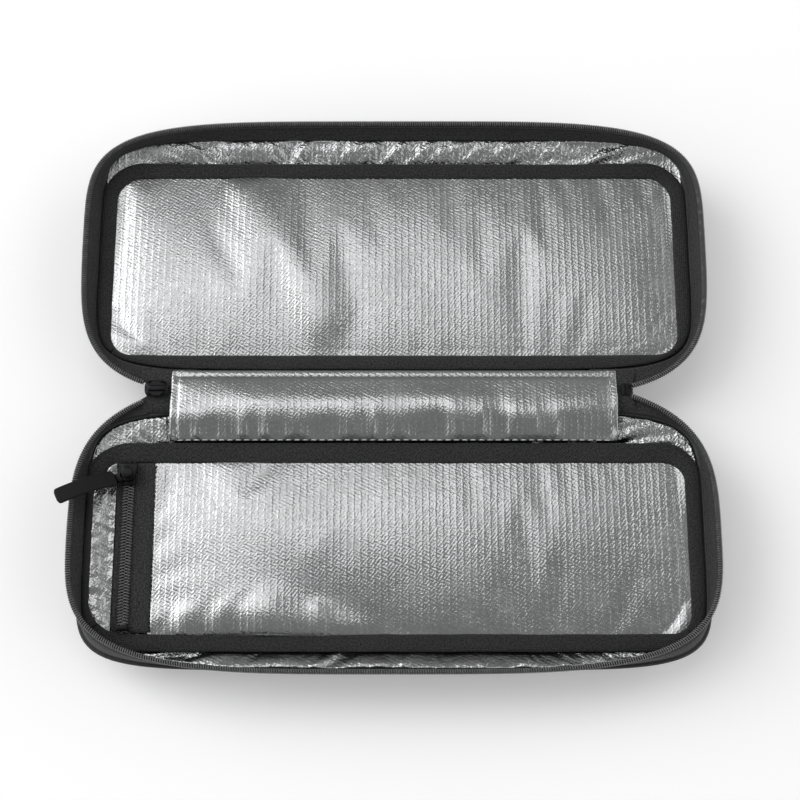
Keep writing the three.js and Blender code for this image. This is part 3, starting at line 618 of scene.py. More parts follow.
# Materials
def add(tree, kind, inputs=(), **settings):
    """A node with its settings, and its inputs set to values or joined to other nodes' outputs"""
    node = tree.nodes.new(kind)
    for name, value in settings.items():
        setattr(node, name, value)
    for key, value in dict(inputs).items():
        if isinstance(value, bpy.types.NodeSocket):
            tree.links.new(value, node.inputs[key])
        else:
            node.inputs[key].default_value = value
    return node


def maths(tree, operation, *values):
    return add(tree, "ShaderNodeMath", enumerate(values), operation=operation).outputs[0]


def weighted_sum(tree, *terms):
    """The sum of values, each times its weight"""
    parts = [maths(tree, "MULTIPLY", value, weight) for value, weight in terms]
    total = parts[0]
    for part in parts[1:]:
        total = maths(tree, "ADD", total, part)
    return total


def wave(tree, vector, direction, pitch):
    """A sine from -1 to 1 that runs across a surface in one direction"""
    turns = 2 * math.pi / pitch
    along = add(tree, "ShaderNodeVectorMath", {0: vector, 1: [d * turns for d in direction]}, operation="DOT_PRODUCT")
    return maths(tree, "SINE", along.outputs["Value"])


def speckle(tree, vector, scale, detail=2.0, roughness=0.5):
    """Cloudy noise over a surface"""
    return add(tree, "ShaderNodeTexNoise", {"Vector": vector, "Scale": scale, "Detail": detail,
                                            "Roughness": roughness}).outputs["Fac"]


def remap(tree, value, low, high, to_low, to_high):
    """A value moved from one range to another and held inside it"""
    return add(tree, "ShaderNodeMapRange", {"Value": value, "From Min": low, "From Max": high,
                                            "To Min": to_low, "To Max": to_high}).outputs["Result"]


def shade(tree, colour, factor):
    """A colour made lighter or darker by a value"""
    mixed = add(tree, "ShaderNodeMix", {0: 1.0, 6: (*colour, 1)}, data_type="RGBA", blend_type="MULTIPLY")
    grey = add(tree, "ShaderNodeCombineColor", {0: factor, 1: factor, 2: factor})
    tree.links.new(grey.outputs[0], mixed.inputs[7])
    return mixed.outputs[2]


def new_group(name, inputs, outputs):
    """An empty shared effect with its named inputs and outputs"""
    group = bpy.data.node_groups.new(name, "ShaderNodeTree")
    for label, kind, default in inputs:
        socket = group.interface.new_socket(name=label, in_out="INPUT", socket_type=kind)
        if default is not None:
            socket.default_value = default
    for label, kind in outputs:
        group.interface.new_socket(name=label, in_out="OUTPUT", socket_type=kind)
    return group, group.nodes.new("NodeGroupInput").outputs, group.nodes.new("NodeGroupOutput").inputs


def foil_emboss_group(sizes):
    """Woven lines and slanted ticks pressed into the foil"""
    group, given, out = new_group(
        "Foil Emboss",
        [("Vector", "NodeSocketVector", None), ("Crinkle", "NodeSocketFloat", 0.2)],
        [("Height", "NodeSocketFloat"), ("Fleck", "NodeSocketFloat")])
    vector = given["Vector"]
    drift = add(group, "ShaderNodeTexNoise", {"Vector": vector, "Scale": 240.0, "Detail": 2.0})
    bent = add(group, "ShaderNodeVectorMath", {0: drift.outputs["Color"], 1: (0.0007,) * 3}, operation="MULTIPLY")
    vector = add(group, "ShaderNodeVectorMath", {0: vector, 1: bent.outputs[0]}, operation="ADD").outputs[0]
    line = wave(group, vector, (1, 0, 0), sizes.foil_stripe)
    line = maths(group, "POWER", remap(group, line, -1, 1, 0, 1), 4.0)
    down = wave(group, vector, (0.45, 0.89, 0), sizes.foil_tick)
    up = wave(group, vector, (0.8, -0.6, 0), sizes.foil_tick * 0.9)
    breaks = speckle(group, vector, 700.0, 1.0)
    ticks = weighted_sum(group, (down, remap(group, breaks, 0.4, 0.6, 0.0, 1.0)),
                         (up, remap(group, breaks, 0.4, 0.6, 0.8, 0.0)))
    crinkle = speckle(group, vector, 330.0, 4.0, 0.65)
    grain = speckle(group, vector, 1500.0)
    height = weighted_sum(group, (line, 0.44), (ticks, 0.2), (grain, 0.8), (crinkle, given["Crinkle"]))
    group.links.new(height, out["Height"])
    group.links.new(speckle(group, vector, 900.0), out["Fleck"])


def tape_weave_group():
    """Slanted or straight ribs of woven tape, on a map that runs along the tape. Its Shade output holds painted shade
    and highlight: lighter on the tops of the ribs and fibres, darker in their grooves.
    """
    group, given, out = new_group(
        "Tape Weave",
        [("Vector", "NodeSocketVector", None), ("Along", "NodeSocketFloat", 0.5),
         ("Across", "NodeSocketFloat", 0.5), ("Pitch", "NodeSocketFloat", 0.7 * MM)],
        [("Height", "NodeSocketFloat"), ("Shade", "NodeSocketFloat")])
    split = add(group, "ShaderNodeSeparateXYZ", {0: given["Vector"]})
    slant = weighted_sum(group, (split.outputs[0], given["Along"]), (split.outputs[1], given["Across"]))
    turns = maths(group, "DIVIDE", maths(group, "MULTIPLY", slant, 2 * math.pi), given["Pitch"])
    rib = maths(group, "SINE", turns)
    fibre = speckle(group, given["Vector"], 1500.0, 3.0, 0.7)
    height = weighted_sum(group, (rib, 0.5), (fibre, 0.6))
    patch = speckle(group, given["Vector"], 90.0, 3.0)
    # Painted shade and highlight: the tone follows the height of the ribs and the fibres, lighter on their tops and
    # darker in their grooves; only the patches vary at random
    tone = maths(group, "ADD", remap(group, rib, -1, 1, 0.75, 1.1), remap(group, patch, 0.3, 0.7, -0.12, 0.12))
    tone = maths(group, "ADD", tone, remap(group, fibre, 0.35, 0.65, -0.7, 1.1))
    group.links.new(height, out["Height"])
    group.links.new(tone, out["Shade"])


def hide_grain_group():
    """Pebbled grain of moulded leatherette, and its soft rubbed patches"""
    group, given, out = new_group(
        "Hide Grain",
        [("Vector", "NodeSocketVector", None), ("Scale", "NodeSocketFloat", 1100.0)],
        [("Height", "NodeSocketFloat"), ("Rub", "NodeSocketFloat")])
    warp = add(group, "ShaderNodeTexNoise", {"Vector": given["Vector"], "Scale": 500.0, "Detail": 2.0})
    bent = add(group, "ShaderNodeVectorMath", {0: warp.outputs["Color"], 1: (0.0006,) * 3}, operation="MULTIPLY")
    moved = add(group, "ShaderNodeVectorMath", {0: given["Vector"], 1: bent.outputs[0]}, operation="ADD")
    cells = add(group, "ShaderNodeTexVoronoi", {"Vector": moved.outputs[0], "Scale": given["Scale"]},
                feature="SMOOTH_F1")
    group.links.new(remap(group, cells.outputs["Distance"], 0.1, 0.6, 1.0, 0.0), out["Height"])
    group.links.new(speckle(group, given["Vector"], 60.0, 3.0), out["Rub"])


def handling_group():
    """Faint smears and dust left by handling, as one mask"""
    group, given, out = new_group(
        "Handling",
        [("Vector", "NodeSocketVector", None), ("Scale", "NodeSocketFloat", 120.0)],
        [("Mask", "NodeSocketFloat")])
    patch = speckle(group, given["Vector"], given["Scale"], 4.0, 0.62)
    group.links.new(remap(group, patch, 0.42, 0.62, 0.0, 1.0), out["Mask"])


def new_material(name, **constants):
    """A material of one shader: its node tree and the shader's inputs"""
    material = bpy.data.materials.new(name)
    material.use_nodes = True
    tree = material.node_tree
    tree.nodes.clear()
    output = tree.nodes.new("ShaderNodeOutputMaterial")
    shader = add(tree, "ShaderNodeBsdfPrincipled", constants)
    tree.links.new(shader.outputs[0], output.inputs["Surface"])
    return tree, shader.inputs


def use(tree, group, **inputs):
    """Places a shared effect in a material and gives its outputs"""
    return add(tree, "ShaderNodeGroup", inputs, node_tree=bpy.data.node_groups[group]).outputs


def bump(tree, height, distance):
    return add(tree, "ShaderNodeBump", {"Height": height, "Distance": distance, "Strength": 1.0}).outputs[0]


def coordinates(tree, kind):
    return tree.nodes.new("ShaderNodeTexCoord").outputs[kind]


def join_finish(tree, shader, colour, roughness, normal=None):
    """Joins a colour, a roughness and a normal to a material's shader"""
    for name, value in (("Base Color", colour), ("Roughness", roughness), ("Normal", normal)):
        if value is not None:
            tree.links.new(value, shader[name])


def foil_material(name, colour, crinkle, depth):
    """Embossed silver laminate, more or less crinkled"""
    tree, shader = new_material(name, Metallic=1.0)
    vector = coordinates(tree, "Object")
    emboss = use(tree, "Foil Emboss", Vector=vector, Crinkle=crinkle)
    smear = use(tree, "Handling", Vector=vector, Scale=70.0)["Mask"]
    join_finish(tree, shader, shade(tree, colour, remap(tree, emboss["Fleck"], 0.3, 0.7, 0.88, 1.0)),
                remap(tree, smear, 0, 1, 0.21, 0.28), bump(tree, emboss["Height"], depth))


def tape_material(name, colour, along, across, pitch, depth):
    """Woven tape whose ribs run along it, across it or aslant"""
    tree, shader = new_material(name, **{"Sheen Weight": 0.12, "Sheen Roughness": 0.5, "Specular IOR Level": 0.3})
    weave = use(tree, "Tape Weave", Vector=coordinates(tree, "UV"), Along=along, Across=across, Pitch=pitch)
    # The tape's colour carries the weave's painted shade and highlight on its ribs and fibres
    join_finish(tree, shader, shade(tree, colour, weave["Shade"]),
                remap(tree, weave["Shade"], 0.7, 1.1, 0.85, 0.73), bump(tree, weave["Height"], depth))


def smooth_material(name, colour, roughness, metallic=0.0, grain=0.0, **constants):
    """Plated metal, moulded nylon, rubber or thread with a fine grain and handling marks"""
    tree, shader = new_material(name, Metallic=metallic, **constants)
    vector = coordinates(tree, "Object")
    smear = use(tree, "Handling", Vector=vector, Scale=400.0)["Mask"]
    join_finish(tree, shader, shade(tree, colour, remap(tree, smear, 0, 1, 0.9, 1.12)),
                remap(tree, smear, 0, 1, roughness - 0.05, roughness + 0.06),
                bump(tree, speckle(tree, vector, 3200.0), grain) if grain else None)


def leatherette_material(colour):
    """Pebbled skin of the covers, with painted shade in the hollows of its grain"""
    tree, shader = new_material("Leatherette", **{"Specular IOR Level": 0.45})
    grain = use(tree, "Hide Grain", Vector=coordinates(tree, "Object"), Scale=1100.0)
    # Painted shade and highlight: the tone follows the grain's height, lighter on the pebbles and darker in the
    # hollows between them; the rubbed patches are lighter wear
    tone = maths(tree, "MULTIPLY", remap(tree, grain["Height"], 0, 1, 0.8, 1.1),
                 remap(tree, grain["Rub"], 0.3, 0.7, 0.9, 1.15))
    join_finish(tree, shader, shade(tree, colour, tone), remap(tree, grain["Rub"], 0.3, 0.7, 0.58, 0.44),
                bump(tree, grain["Height"], 0.08 * MM))


def foam_material(colour):
    """Open cells of the insulation, with painted shade in their pits"""
    tree, shader = new_material("Foam", **{"Specular IOR Level": 0.2})
    cells = add(tree, "ShaderNodeTexVoronoi", {"Vector": coordinates(tree, "Object"), "Scale": 900.0})
    cells = cells.outputs["Distance"]
    # Painted shade: the colour is darkest at each cell's middle, where the bump makes its pit
    join_finish(tree, shader, shade(tree, colour, remap(tree, cells, 0, 0.6, 0.86, 1.0)),
                remap(tree, cells, 0, 0.6, 0.95, 0.85), bump(tree, cells, 0.2 * MM))


def gel_material(colour):
    """Cloudy gel behind a glossy film"""
    tree, shader = new_material("Gel Pack Film", **{"Coat Weight": 0.4, "Coat Roughness": 0.15})
    vector = coordinates(tree, "Object")
    cloud = speckle(tree, vector, 45.0, 3.0)
    join_finish(tree, shader, shade(tree, colour, remap(tree, cloud, 0.3, 0.7, 0.82, 1.08)),
                remap(tree, cloud, 0.3, 0.7, 0.24, 0.34), bump(tree, speckle(tree, vector, 220.0, 3.0), 0.5 * MM))


class CASE_OT_materials(bpy.types.Operator):
    """Makes the finishes of the case"""

    bl_idname = "case.materials"
    bl_label = "Materials"

    def execute(self, context):
        sizes, colours = context.scene.case_sizes, context.scene.case_colours
        foil_emboss_group(sizes)
        tape_weave_group()
        hide_grain_group()
        handling_group()
        foil_material("Foil", colours.foil, crinkle=0.3, depth=0.1 * MM)
        foil_material("Crinkled Foil", colours.foil, crinkle=2.4, depth=0.19 * MM)
        tape_material("Zip Tape", colours.webbing, along=0.0, across=1.0, pitch=0.6 * MM, depth=0.06 * MM)
        tape_material("Twill Binding", colours.binding, along=0.6, across=0.8, pitch=0.75 * MM, depth=0.08 * MM)
        tape_material("Ribbed Binding", colours.binding, along=0.0, across=1.0, pitch=0.7 * MM, depth=0.08 * MM)
        smooth_material("Nylon Coil", colours.coil, roughness=0.24)
        smooth_material("Black Plate", colours.metal, roughness=0.26, metallic=0.9, grain=0.01 * MM)
        smooth_material("Soft Tab", colours.rubber, roughness=0.62, grain=0.03 * MM, **{"Specular IOR Level": 0.2})
        smooth_material("Grey Thread", colours.thread, roughness=0.6, grain=0.03 * MM)
        leatherette_material(colours.leatherette)
        foam_material(colours.foam)
        gel_material(colours.gel)
        return {"FINISHED"}


# Covers, foams and linings, from profiles of insets from the shell's outline and heights
def foot_arc(inset, z, radius):
    """The rounded foot of a profile"""
    turn = np.linspace(0, np.pi / 2, 9)
    return [(inset + radius * (1 - math.sin(a)), z + radius * (1 - math.cos(a))) for a in turn]


def tray_rings(profile, count):
    """Rings of points that carry a profile round the shell's outline"""
    return np.array([level(shell_outline(inset, count), z) for inset, z in profile])


class CASE_OT_covers(bpy.types.Operator):
    """Makes the leatherette covers, with a piping and a row of stitches round each rim"""

    bl_idname = "case.covers"
    bl_label = "Covers"

    def execute(self, context):
        sizes = context.scene.case_sizes
        wall_height, wall_bow = 8.6 * MM, 0.35 * MM
        piping_z, piping_inset, piping_radius = 14.9 * MM, -0.15 * MM, 0.75 * MM
        seam_z, seam_inset = 13.2 * MM, 0.28 * MM
        for half in HALVES:
            outside = foot_arc(FOOT_INSET, 0, FOOT_RADIUS)
            for share in np.linspace(0, 1, 9)[1:-1]:
                lean = FOOT_INSET * (1 - share) - wall_bow * math.sin(math.pi * share)
                outside.append((lean, FOOT_RADIUS + share * wall_height))
            rim = [(0.1 * MM, 15.8 * MM), (0.35 * MM, RIM_Z), (1.2 * MM, RIM_Z), (COVER_WALL, 15.7 * MM)]
            inside = foot_arc(FOOT_INSET + COVER_WALL, COVER_WALL, FOOT_RADIUS - COVER_WALL)[::-1]
            floor = [(20 * MM, 0), (13 * MM, 0)]
            cover = skin(f"{half}_cover_skin", place(tray_rings(floor + outside + rim + inside, 260), half))
            dress(cover, "Leatherette", "cover_leatherette", f"{half}_cover", body=half, smooth=50)

            outline = shell_outline(piping_inset, 360)
            rings = round_rings(level(outline, piping_z), outward_of(outline), all_up(outline), piping_radius, 10)
            piping = skin(f"{half}_cover_piping", place(rings, half), loop=True)
            dress(piping, "Leatherette", "cover_leatherette", body=half)

            outline = shell_outline(seam_inset, 500)
            outward = turned_round(outward_of(outline), half)
            seam = stitch_row(f"{half}_cover_stitches", place(level(outline, seam_z), half), outward, sizes)
            dress(seam, "Nylon Coil", "zip_tape", body=half)
        return {"FINISHED"}


class CASE_OT_cores(bpy.types.Operator):
    """Makes the foam insulation and the gel packs inside both halves"""

    bl_idname = "case.cores"
    bl_label = "Foam and gel packs"

    def execute(self, context):
        gap = COVER_WALL + SEAM
        for half in HALVES:
            outside = foot_arc(FOOT_INSET + gap, gap, FOOT_RADIUS - gap)
            outside.append((gap + 0.9 * MM, 14.2 * MM))
            inside = [(5.4 * MM, 14.3 * MM), (9.6 * MM, 13.1 * MM), (12.6 * MM, 9.2 * MM),
                      (14 * MM, 5.9 * MM), (20 * MM, 5.8 * MM)]
            foam = skin(f"{half}_foam", place(tray_rings([(20 * MM, gap)] + outside + inside, 200), half))
            dress(foam, "Foam", "insulation_foam", f"{half}_insulation", body=half, smooth=50)
            low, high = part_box(f"{half}_gel_pack")
            columns, rows = 90, 32
            seal = 0.2 * MM
            u, v = np.meshgrid(np.linspace(-1, 1, columns), np.linspace(-1, 1, rows))
            fill = ((1 - np.abs(u) ** 5) * (1 - np.abs(v) ** 4)) ** 0.6
            x = (low.x + high.x) / 2 + u * (high.x - low.x) / 2 * (1 - 0.02 * v**2)
            y = (low.y + high.y) / 2 + v * (high.y - low.y) / 2 * (1 - 0.03 * u**2)
            seam_z = low.z + 0.35 * (high.z - low.z)
            sag = 0.4 * MM * ripple(np.stack([x, y], axis=-1), 22 * MM, 3)
            top = seam_z + seal + fill * (high.z - seam_z - 0.7 * MM + sag)
            under = seam_z - seal - np.minimum(fill * 1.3, 1) * (seam_z - low.z - 0.3 * MM)
            rings = [np.vstack([np.column_stack([x[:, c], y[:, c], top[:, c]]),
                                np.column_stack([x[:, c], y[:, c], under[:, c]])[::-1]]) for c in range(columns)]
            pack = skin(f"{half}_gel_pillow", rings)
            dress(pack, "Gel Pack Film", "gel", f"{half}_gel_pack", body=half)
        return {"FINISHED"}


class CASE_OT_linings(bpy.types.Operator):
    """Makes the crinkled foil lining of both halves"""

    bl_idname = "case.linings"
    bl_label = "Foil linings"

    def execute(self, context):
        count = 1000
        insets = np.array([2.2, 2.6, 3.1, 3.7, 4.3, 4.9, 5.5, 6.1, 6.7, 7.3, 7.9,
                           8.5, 9.2, 10, 11, 12, 13, 14, 15, 17, 30]) * MM
        climbs = {"base": 4.5 * MM, "lid": 1.4 * MM}
        spreads = {"base": 3.0 * MM, "lid": 1.3 * MM}
        fold_pitch, crease_pitch, reel_radius = 10 * MM, 4 * MM, 90 * MM
        for k, half in enumerate(HALVES):
            rings = tray_rings([(inset, np.interp(inset, LINING_INSETS, LINING_HEIGHTS)) for inset in insets], count)
            at_front = smoothstep(-rings[0, :, 1], 0.5 * HALF_Y, 0.93 * HALF_Y)
            if half == "base":
                at_front *= 1 - smoothstep(np.abs(rings[0, :, 0]), 0.4 * HALF_X, 0.8 * HALF_X)
            run = np.linspace(0, 1, count, endpoint=False) * 2 * math.pi
            reel = np.stack([np.cos(run), np.sin(run)], axis=1) * reel_radius
            for r, inset in enumerate(insets):
                low_edge = 1 - smoothstep(inset, LINING_INSETS[0], 8 * MM)
                outwards = 1 + spreads[half] / HALF_Y * at_front * low_edge
                rings[r, :, :2] *= outwards[:, None]
                outside = beyond_binding(rings[r, :, :2], half)
                rings[r, :, 2] += climbs[half] * at_front * smoothstep(outside, -0.8 * MM, 5 * MM)
                across = level(reel, inset * 0.3)
                slanted = across + np.column_stack([reel[:, 1], -reel[:, 0], 0 * run]) * inset / (60 * MM)
                fold = 1 - 2 * np.sqrt(ripple(slanted, fold_pitch, 11 + k) ** 2 + 0.02)
                crease = 1 - 2 * np.sqrt(ripple(across * [1, 1, 3], crease_pitch, 17 + k) ** 2 + 0.03)
                bare = smoothstep(outside, -0.5 * MM, 1.5 * MM)
                free = smoothstep(inset, 2.0 * MM, 3.4 * MM) * (1 - 0.9 * smoothstep(inset, 12 * MM, 15 * MM))
                free = free * (1 - 0.6 * smoothstep(np.abs(rings[r, :, 0]), 0.72 * HALF_X, 0.86 * HALF_X))
                rings[r, :, 2] += free * ((0.15 + 0.9 * bare) * fold + (0.05 + 0.3 * bare) * crease - 0.15) * MM
            lining = skin(f"{half}_lining_foil", place(rings, half))
            open_lining(lining)
            thicken(lining, LINING_THICKNESS)
            dress(lining, "Crinkled Foil", "foil", f"{half}_lining", body=half)
        return {"FINISHED"}


def open_lining(obj):
    """Opens the lining's mouth and turns its faces inwards"""
    mouth = max(obj.data.polygons, key=lambda face: (len(face.vertices) > 4, face.center.z)).index
    edit_picked(obj, "FACE", lambda face: face.index == mouth, lambda: bpy.ops.mesh.delete(type="FACE"))
    floor = max(obj.data.polygons, key=lambda face: len(face.vertices))
    if floor.normal.z < 0:
        edit_picked(obj, "FACE", lambda face: True, bpy.ops.mesh.flip_normals)


def beyond_binding(points, half):
    """How far points lie outside the outer edge of a pocket's binding"""
    left, right, front, hinge, radii = pocket_outline(half)
    low = np.array([left - BINDING_SIDE, front - 5.4 * MM])
    high = np.array([right + BINDING_SIDE, hinge + 5 * MM])
    corner = max(radii) + 4.5 * MM
    past = np.abs(points - (low + high) / 2) - (high - low) / 2 + corner
    return np.linalg.norm(np.maximum(past, 0), axis=-1) + np.minimum(past.max(axis=-1), 0) - corner


def closer_at_ends(count, bend):
    """Numbers from -1 to 1, closer together towards both ends"""
    return np.sin(np.linspace(-1, 1, count) * bend) / math.sin(bend)


def panel_grid(left, right, front, hinge, radii, columns, rows):
    """Rows and columns of points that fill a rounded outline, and each point's place on them from -1 to 1"""
    u, v = closer_at_ends(columns, 1.0), closer_at_ends(rows, 1.2)
    y = (front + hinge) / 2 + v * (hinge - front) / 2
    lefts = left + np.maximum(corner_draw(y - front, radii[0]), corner_draw(hinge - y, radii[3]))
    rights = right - np.maximum(corner_draw(y - front, radii[1]), corner_draw(hinge - y, radii[2]))
    x = (lefts + rights)[:, None] / 2 + u[None] * (rights - lefts)[:, None] / 2
    return np.stack([x, np.repeat(y[:, None], columns, axis=1)], axis=-1), np.meshgrid(u, v)


def gathers(along, gap, pitch, reach, seed):
    """Gathers that run in from a sewn edge: highest near the edge, gone beyond their reach"""
    gap = np.maximum(gap, 0)
    t = np.stack([along, gap * 0.25], axis=-1)
    longer = reach * (1 + 0.6 * ripple(np.stack([along, along * 0], axis=-1), pitch * 2.5, seed + 5))
    fold = 1 - 2 * np.abs(ripple(t, pitch, seed))
    return fold * np.exp(-((gap / np.maximum(longer, MM)) ** 1.5)) * smoothstep(gap, 0.2 * MM, 2.5 * MM)


# Broad swellings of each pocket panel where its gel pack pushes it up: the two ends of the crest and its half width,
# as shares of the panel's half length and half depth, and the height. Those below zero are hollows.
SWELLINGS = {
    "base": [
        ((-0.57, -0.75), (-0.54, -1.0), 0.1, 1.7 * MM),
        ((-0.95, -0.95), (-0.3, -0.95), 0.12, 1.2 * MM),
        ((-0.37, -0.7), (-0.36, -1.0), 0.035, 0.8 * MM),
        ((-0.86, -0.75), (-0.85, -1.0), 0.04, 0.9 * MM),
        ((-0.72, -0.7), (-0.74, -1.0), 0.04, 0.7 * MM),
        ((-0.7, 0.9), (-0.4, 0.0), 0.11, 1.1 * MM),
        ((0.55, -0.65), (0.85, -0.65), 0.17, -1.1 * MM),
        ((0.95, 0.7), (0.96, -0.5), 0.09, 0.9 * MM),
    ],
    "lid": [
        ((0.52, -0.8), (0.26, 0.55), 0.1, 1.8 * MM),
        ((-0.12, -0.8), (0.06, 0.4), 0.14, 0.4 * MM),
        ((-0.66, -0.6), (-0.64, 0.7), 0.14, 0.45 * MM),
        ((0.85, -0.4), (0.8, 0.7), 0.1, 0.6 * MM),
    ],
}


def swellings(u, v, half):
    """How far the swellings lift each point of a panel"""
    total = np.zeros_like(u)
    for start, stop, width, height in SWELLINGS[half]:
        du, dv = stop[0] - start[0], (stop[1] - start[1]) / 3
        share = np.clip(((u - start[0]) * du + (v - start[1]) / 3 * dv) / (du**2 + dv**2), 0, 1)
        away = np.hypot(u - start[0] - share * du, (v - start[1]) / 3 - share * dv)
        total += height * np.exp(-((away / width) ** 2))
    return total


class CASE_OT_pocket_panels(bpy.types.Operator):
    """Makes the padded foil panels of both pockets, gathered along their bindings"""

    bl_idname = "case.pocket_panels"
    bl_label = "Pocket panels"

    def execute(self, context):
        pucker = context.scene.case_sizes.pucker
        tuck, padding, unevenness = 0.5 * MM, 1.6 * MM, 0.25 * MM
        fullness = {"base": lambda x: 1 - 0.8 * smoothstep(x, -60 * MM, 0), "lid": lambda x: 0.1 + 0 * x}
        for k, half in enumerate(HALVES):
            left, right, front, hinge, radii = pocket_outline(half)
            if half == "base":
                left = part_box("base_pocket_panel")[0].x
                radii = [2.4 * MM, *radii[1:3], 2.4 * MM]
            grid, (u, v) = panel_grid(left - tuck, right + tuck, front - tuck, hinge + tuck,
                                      [r + tuck for r in radii], 130, 50)
            seat = seat_height(grid)
            if half == "base":
                clear = np.minimum(grid[..., 1] - front, hinge - grid[..., 1])
                seat += 0.6 * MM * np.exp(-((grid[..., 0] - left) / (5 * MM)) ** 2) * smoothstep(clear, 0, 6 * MM)
            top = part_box(f"{half}_pocket_panel")[1].z + pucker
            roll = np.where((v < 0) & (half == "base"), 8, 3)
            swell = np.clip((1 - np.abs(u) ** 4) * (1 - np.abs(v) ** roll), 0, 1)
            x, y = grid[..., 0], grid[..., 1]
            z = seat + 0.25 * MM + padding * swell
            z += swell**0.3 * (swellings(u, v, half) + unevenness * ripple(grid, 30 * MM, 61 + k))
            panel = open_sheet(f"{half}_pocket_foil", place(np.dstack([grid, z]), half))
            sewn = (np.abs(u) > 0.9999) | (np.abs(v) > 0.9999)
            gather = np.exp(-(((y - front) / (6 * MM)) ** 2)) * fullness[half](x)
            settle_cloth(panel, sewn.ravel(), gather.ravel(), slack=0.0005, fullness=0.03, pressure=12, bend=12)
            points = mesh_points(panel)
            points[:, 2] = np.clip(points[:, 2], seat.ravel() - 0.1 * MM, top)
            move_points(panel, points)
            smoothed(panel)
            thicken(panel, PADDED_THICKNESS)
            dress(panel, "Foil", "foil", f"{half}_pocket_panel", body=half)
        return {"FINISHED"}


class CASE_OT_side_strip(bpy.types.Operator):
    """Makes the foil strip outside the pocket zip"""

    bl_idname = "case.side_strip"
    bl_label = "Side strip"

    def execute(self, context):
        low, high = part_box("base_pocket_side_strip")
        left, _, front, hinge, radii = pocket_outline("base")
        y = np.linspace(low.y, high.y, 150)
        arc = corner_draw(np.minimum(y - front, hinge - y), radii[0])
        end = high.x + 0.2 * MM
        share, y = np.meshgrid(np.linspace(0, 1, 24), y)
        start = np.minimum(left - 0.6 * MM + arc, end - 0.3 * MM)[:, None]
        x = start + (end - start) * share
        grid = np.stack([x, y], axis=-1)
        z = seat_height(grid) + 0.5 * MM + 0.6 * MM * np.sin(np.pi * share) ** 0.7
        z += 0.25 * MM * ripple(grid * [0.6, 1.2], 4 * MM, 7) + 0.12 * MM * ripple(grid, 1.8 * MM, 8)
        strip = open_sheet("base_side_foil", np.dstack([grid, z]))
        thicken(strip, STRIP_THICKNESS)
        dress(strip, "Foil", "foil", "base_pocket_side_strip", body="base")
        return {"FINISHED"}


def binding_strip(name, half, start, stop, front_width, hinge_width, seed):
    """A folded tape along part of a pocket's outline"""
    line, run, middles = rounded_path(*pocket_outline(half))
    begin, end = middles[start], middles[stop]
    if end < begin:
        end += run[-1]
    edge, outward, places = path_between(line, run, begin + 0.15 * MM, end - 0.15 * MM, 0.7 * MM)
    across = np.where(outward[:, 1] > 0, hinge_width, front_width)
    wanted = BINDING_SIDE * outward[:, 0] ** 2 + across * outward[:, 1] ** 2
    width = np.minimum(wanted, reach_to_shell(edge, outward, COVER_WALL) - SEAM)
    stray = 0.12 * MM * ripple(np.column_stack([places, places * 0]), 9 * MM, seed)
    shares = np.array([0, 0.04, 0.16, 0.34, 0.5, 0.66, 0.84, 0.96, 1, 0.97, 0.66, 0.33, 0.03])
    lifts = np.array([0.75, 1.02, 1.2, 1.34, 1.38, 1.34, 1.2, 0.95, 0.6, 0.15, 0.15, 0.2, 0.5]) * MM
    lap = 0.8 * MM
    rings = []
    for share, lift in zip(shares, lifts):
        at = edge + outward * (-lap + (width + SEAM + lap) * share + stray)[:, None]
        sit = np.maximum(seat_height(at), seat_height(edge) - 0.2 * MM)
        rings.append(np.column_stack([at, sit + lift + 0.5 * stray]))
    return skin(name, place(np.swapaxes(np.array(rings), 0, 1), half))


class CASE_OT_bindings(bpy.types.Operator):
    """Makes the tapes bound round the pockets"""

    bl_idname = "case.bindings"
    bl_label = "Bindings"

    def execute(self, context):
        front_left, front_right, hinge_right, hinge_left = range(4)
        wanted = [
            ("base_pocket_top_binding", "base", front_right, front_left, 4.9, 5.9, "Twill Binding"),
            ("base_pocket_bottom_binding", "base", front_left, front_right, 4.9, 5.9, "Ribbed Binding"),
            ("lid_pocket_edge_binding", "lid", hinge_left, hinge_right, 4.5, 4.4, "Ribbed Binding"),
            ("lid_pocket_hinge_binding", "lid", hinge_right, hinge_left, 5.6, 4.4, "Ribbed Binding"),
        ]
        for seed, (node, half, start, stop, front, hinge, finish) in enumerate(wanted):
            tape = binding_strip(f"{node}_tape", half, start, stop, front * MM, hinge * MM, 80 + seed)
            dress(tape, finish, "binding_tape", node, body=half)
        return {"FINISHED"}


def coil_line(half, step):
    """Even points of the main coil's line, with outward directions, heights and distances along it"""
    ends = (NECK_X, SLIDER_SIDE_END) if half == "base" else (SLIDER_SIDE_END, NECK_X)
    power = COIL_HINGE_POWER[half]
    angle_at = lambda x: math.acos((x / COIL_HALF_X) ** (power / 2))
    start, stop = angle_at(ends[0]), -math.pi - angle_at(ends[1])
    angle = np.linspace(start, stop, COIL_LINE_STEPS)
    at_neck = (1 - (NECK_X / COIL_HALF_X) ** power) ** (1 / power)
    front = superellipse(COIL_HALF_X, COIL_FRONT_Y, COIL_FRONT_POWER[half], angle)
    hinge = superellipse(COIL_HALF_X, NECK_Y[half] / at_neck, power, angle)
    line = np.where((np.sin(angle) <= 0)[:, None], front, hinge)
    length = run_along(line)[-1]
    count = int(length / step) + 1
    points = even_steps(line, count)
    ahead = unit(np.gradient(points, axis=0))
    outward = np.stack([-ahead[:, 1], ahead[:, 0]], axis=1)
    run = np.linspace(0, length, count)
    lift = smoothstep(np.minimum(run, length - run), 0, NECK_RAMP)
    return points, outward, NECK_Z + (COIL_Z - NECK_Z) * lift, run


def coil_wire(name, centre, side, run, half, pitch, reach, rise, wire):
    """A wire wound along a line: one turn to each pitch"""
    phase = (2 * np.pi * run / pitch)[:, None]
    radial = np.cos(phase) * side + np.sin(phase) * UP
    line = centre + np.cos(phase) * reach * side + np.sin(phase) * rise * UP
    return tube(name, place(line, half), wire, 5, turned_round(radial, half))


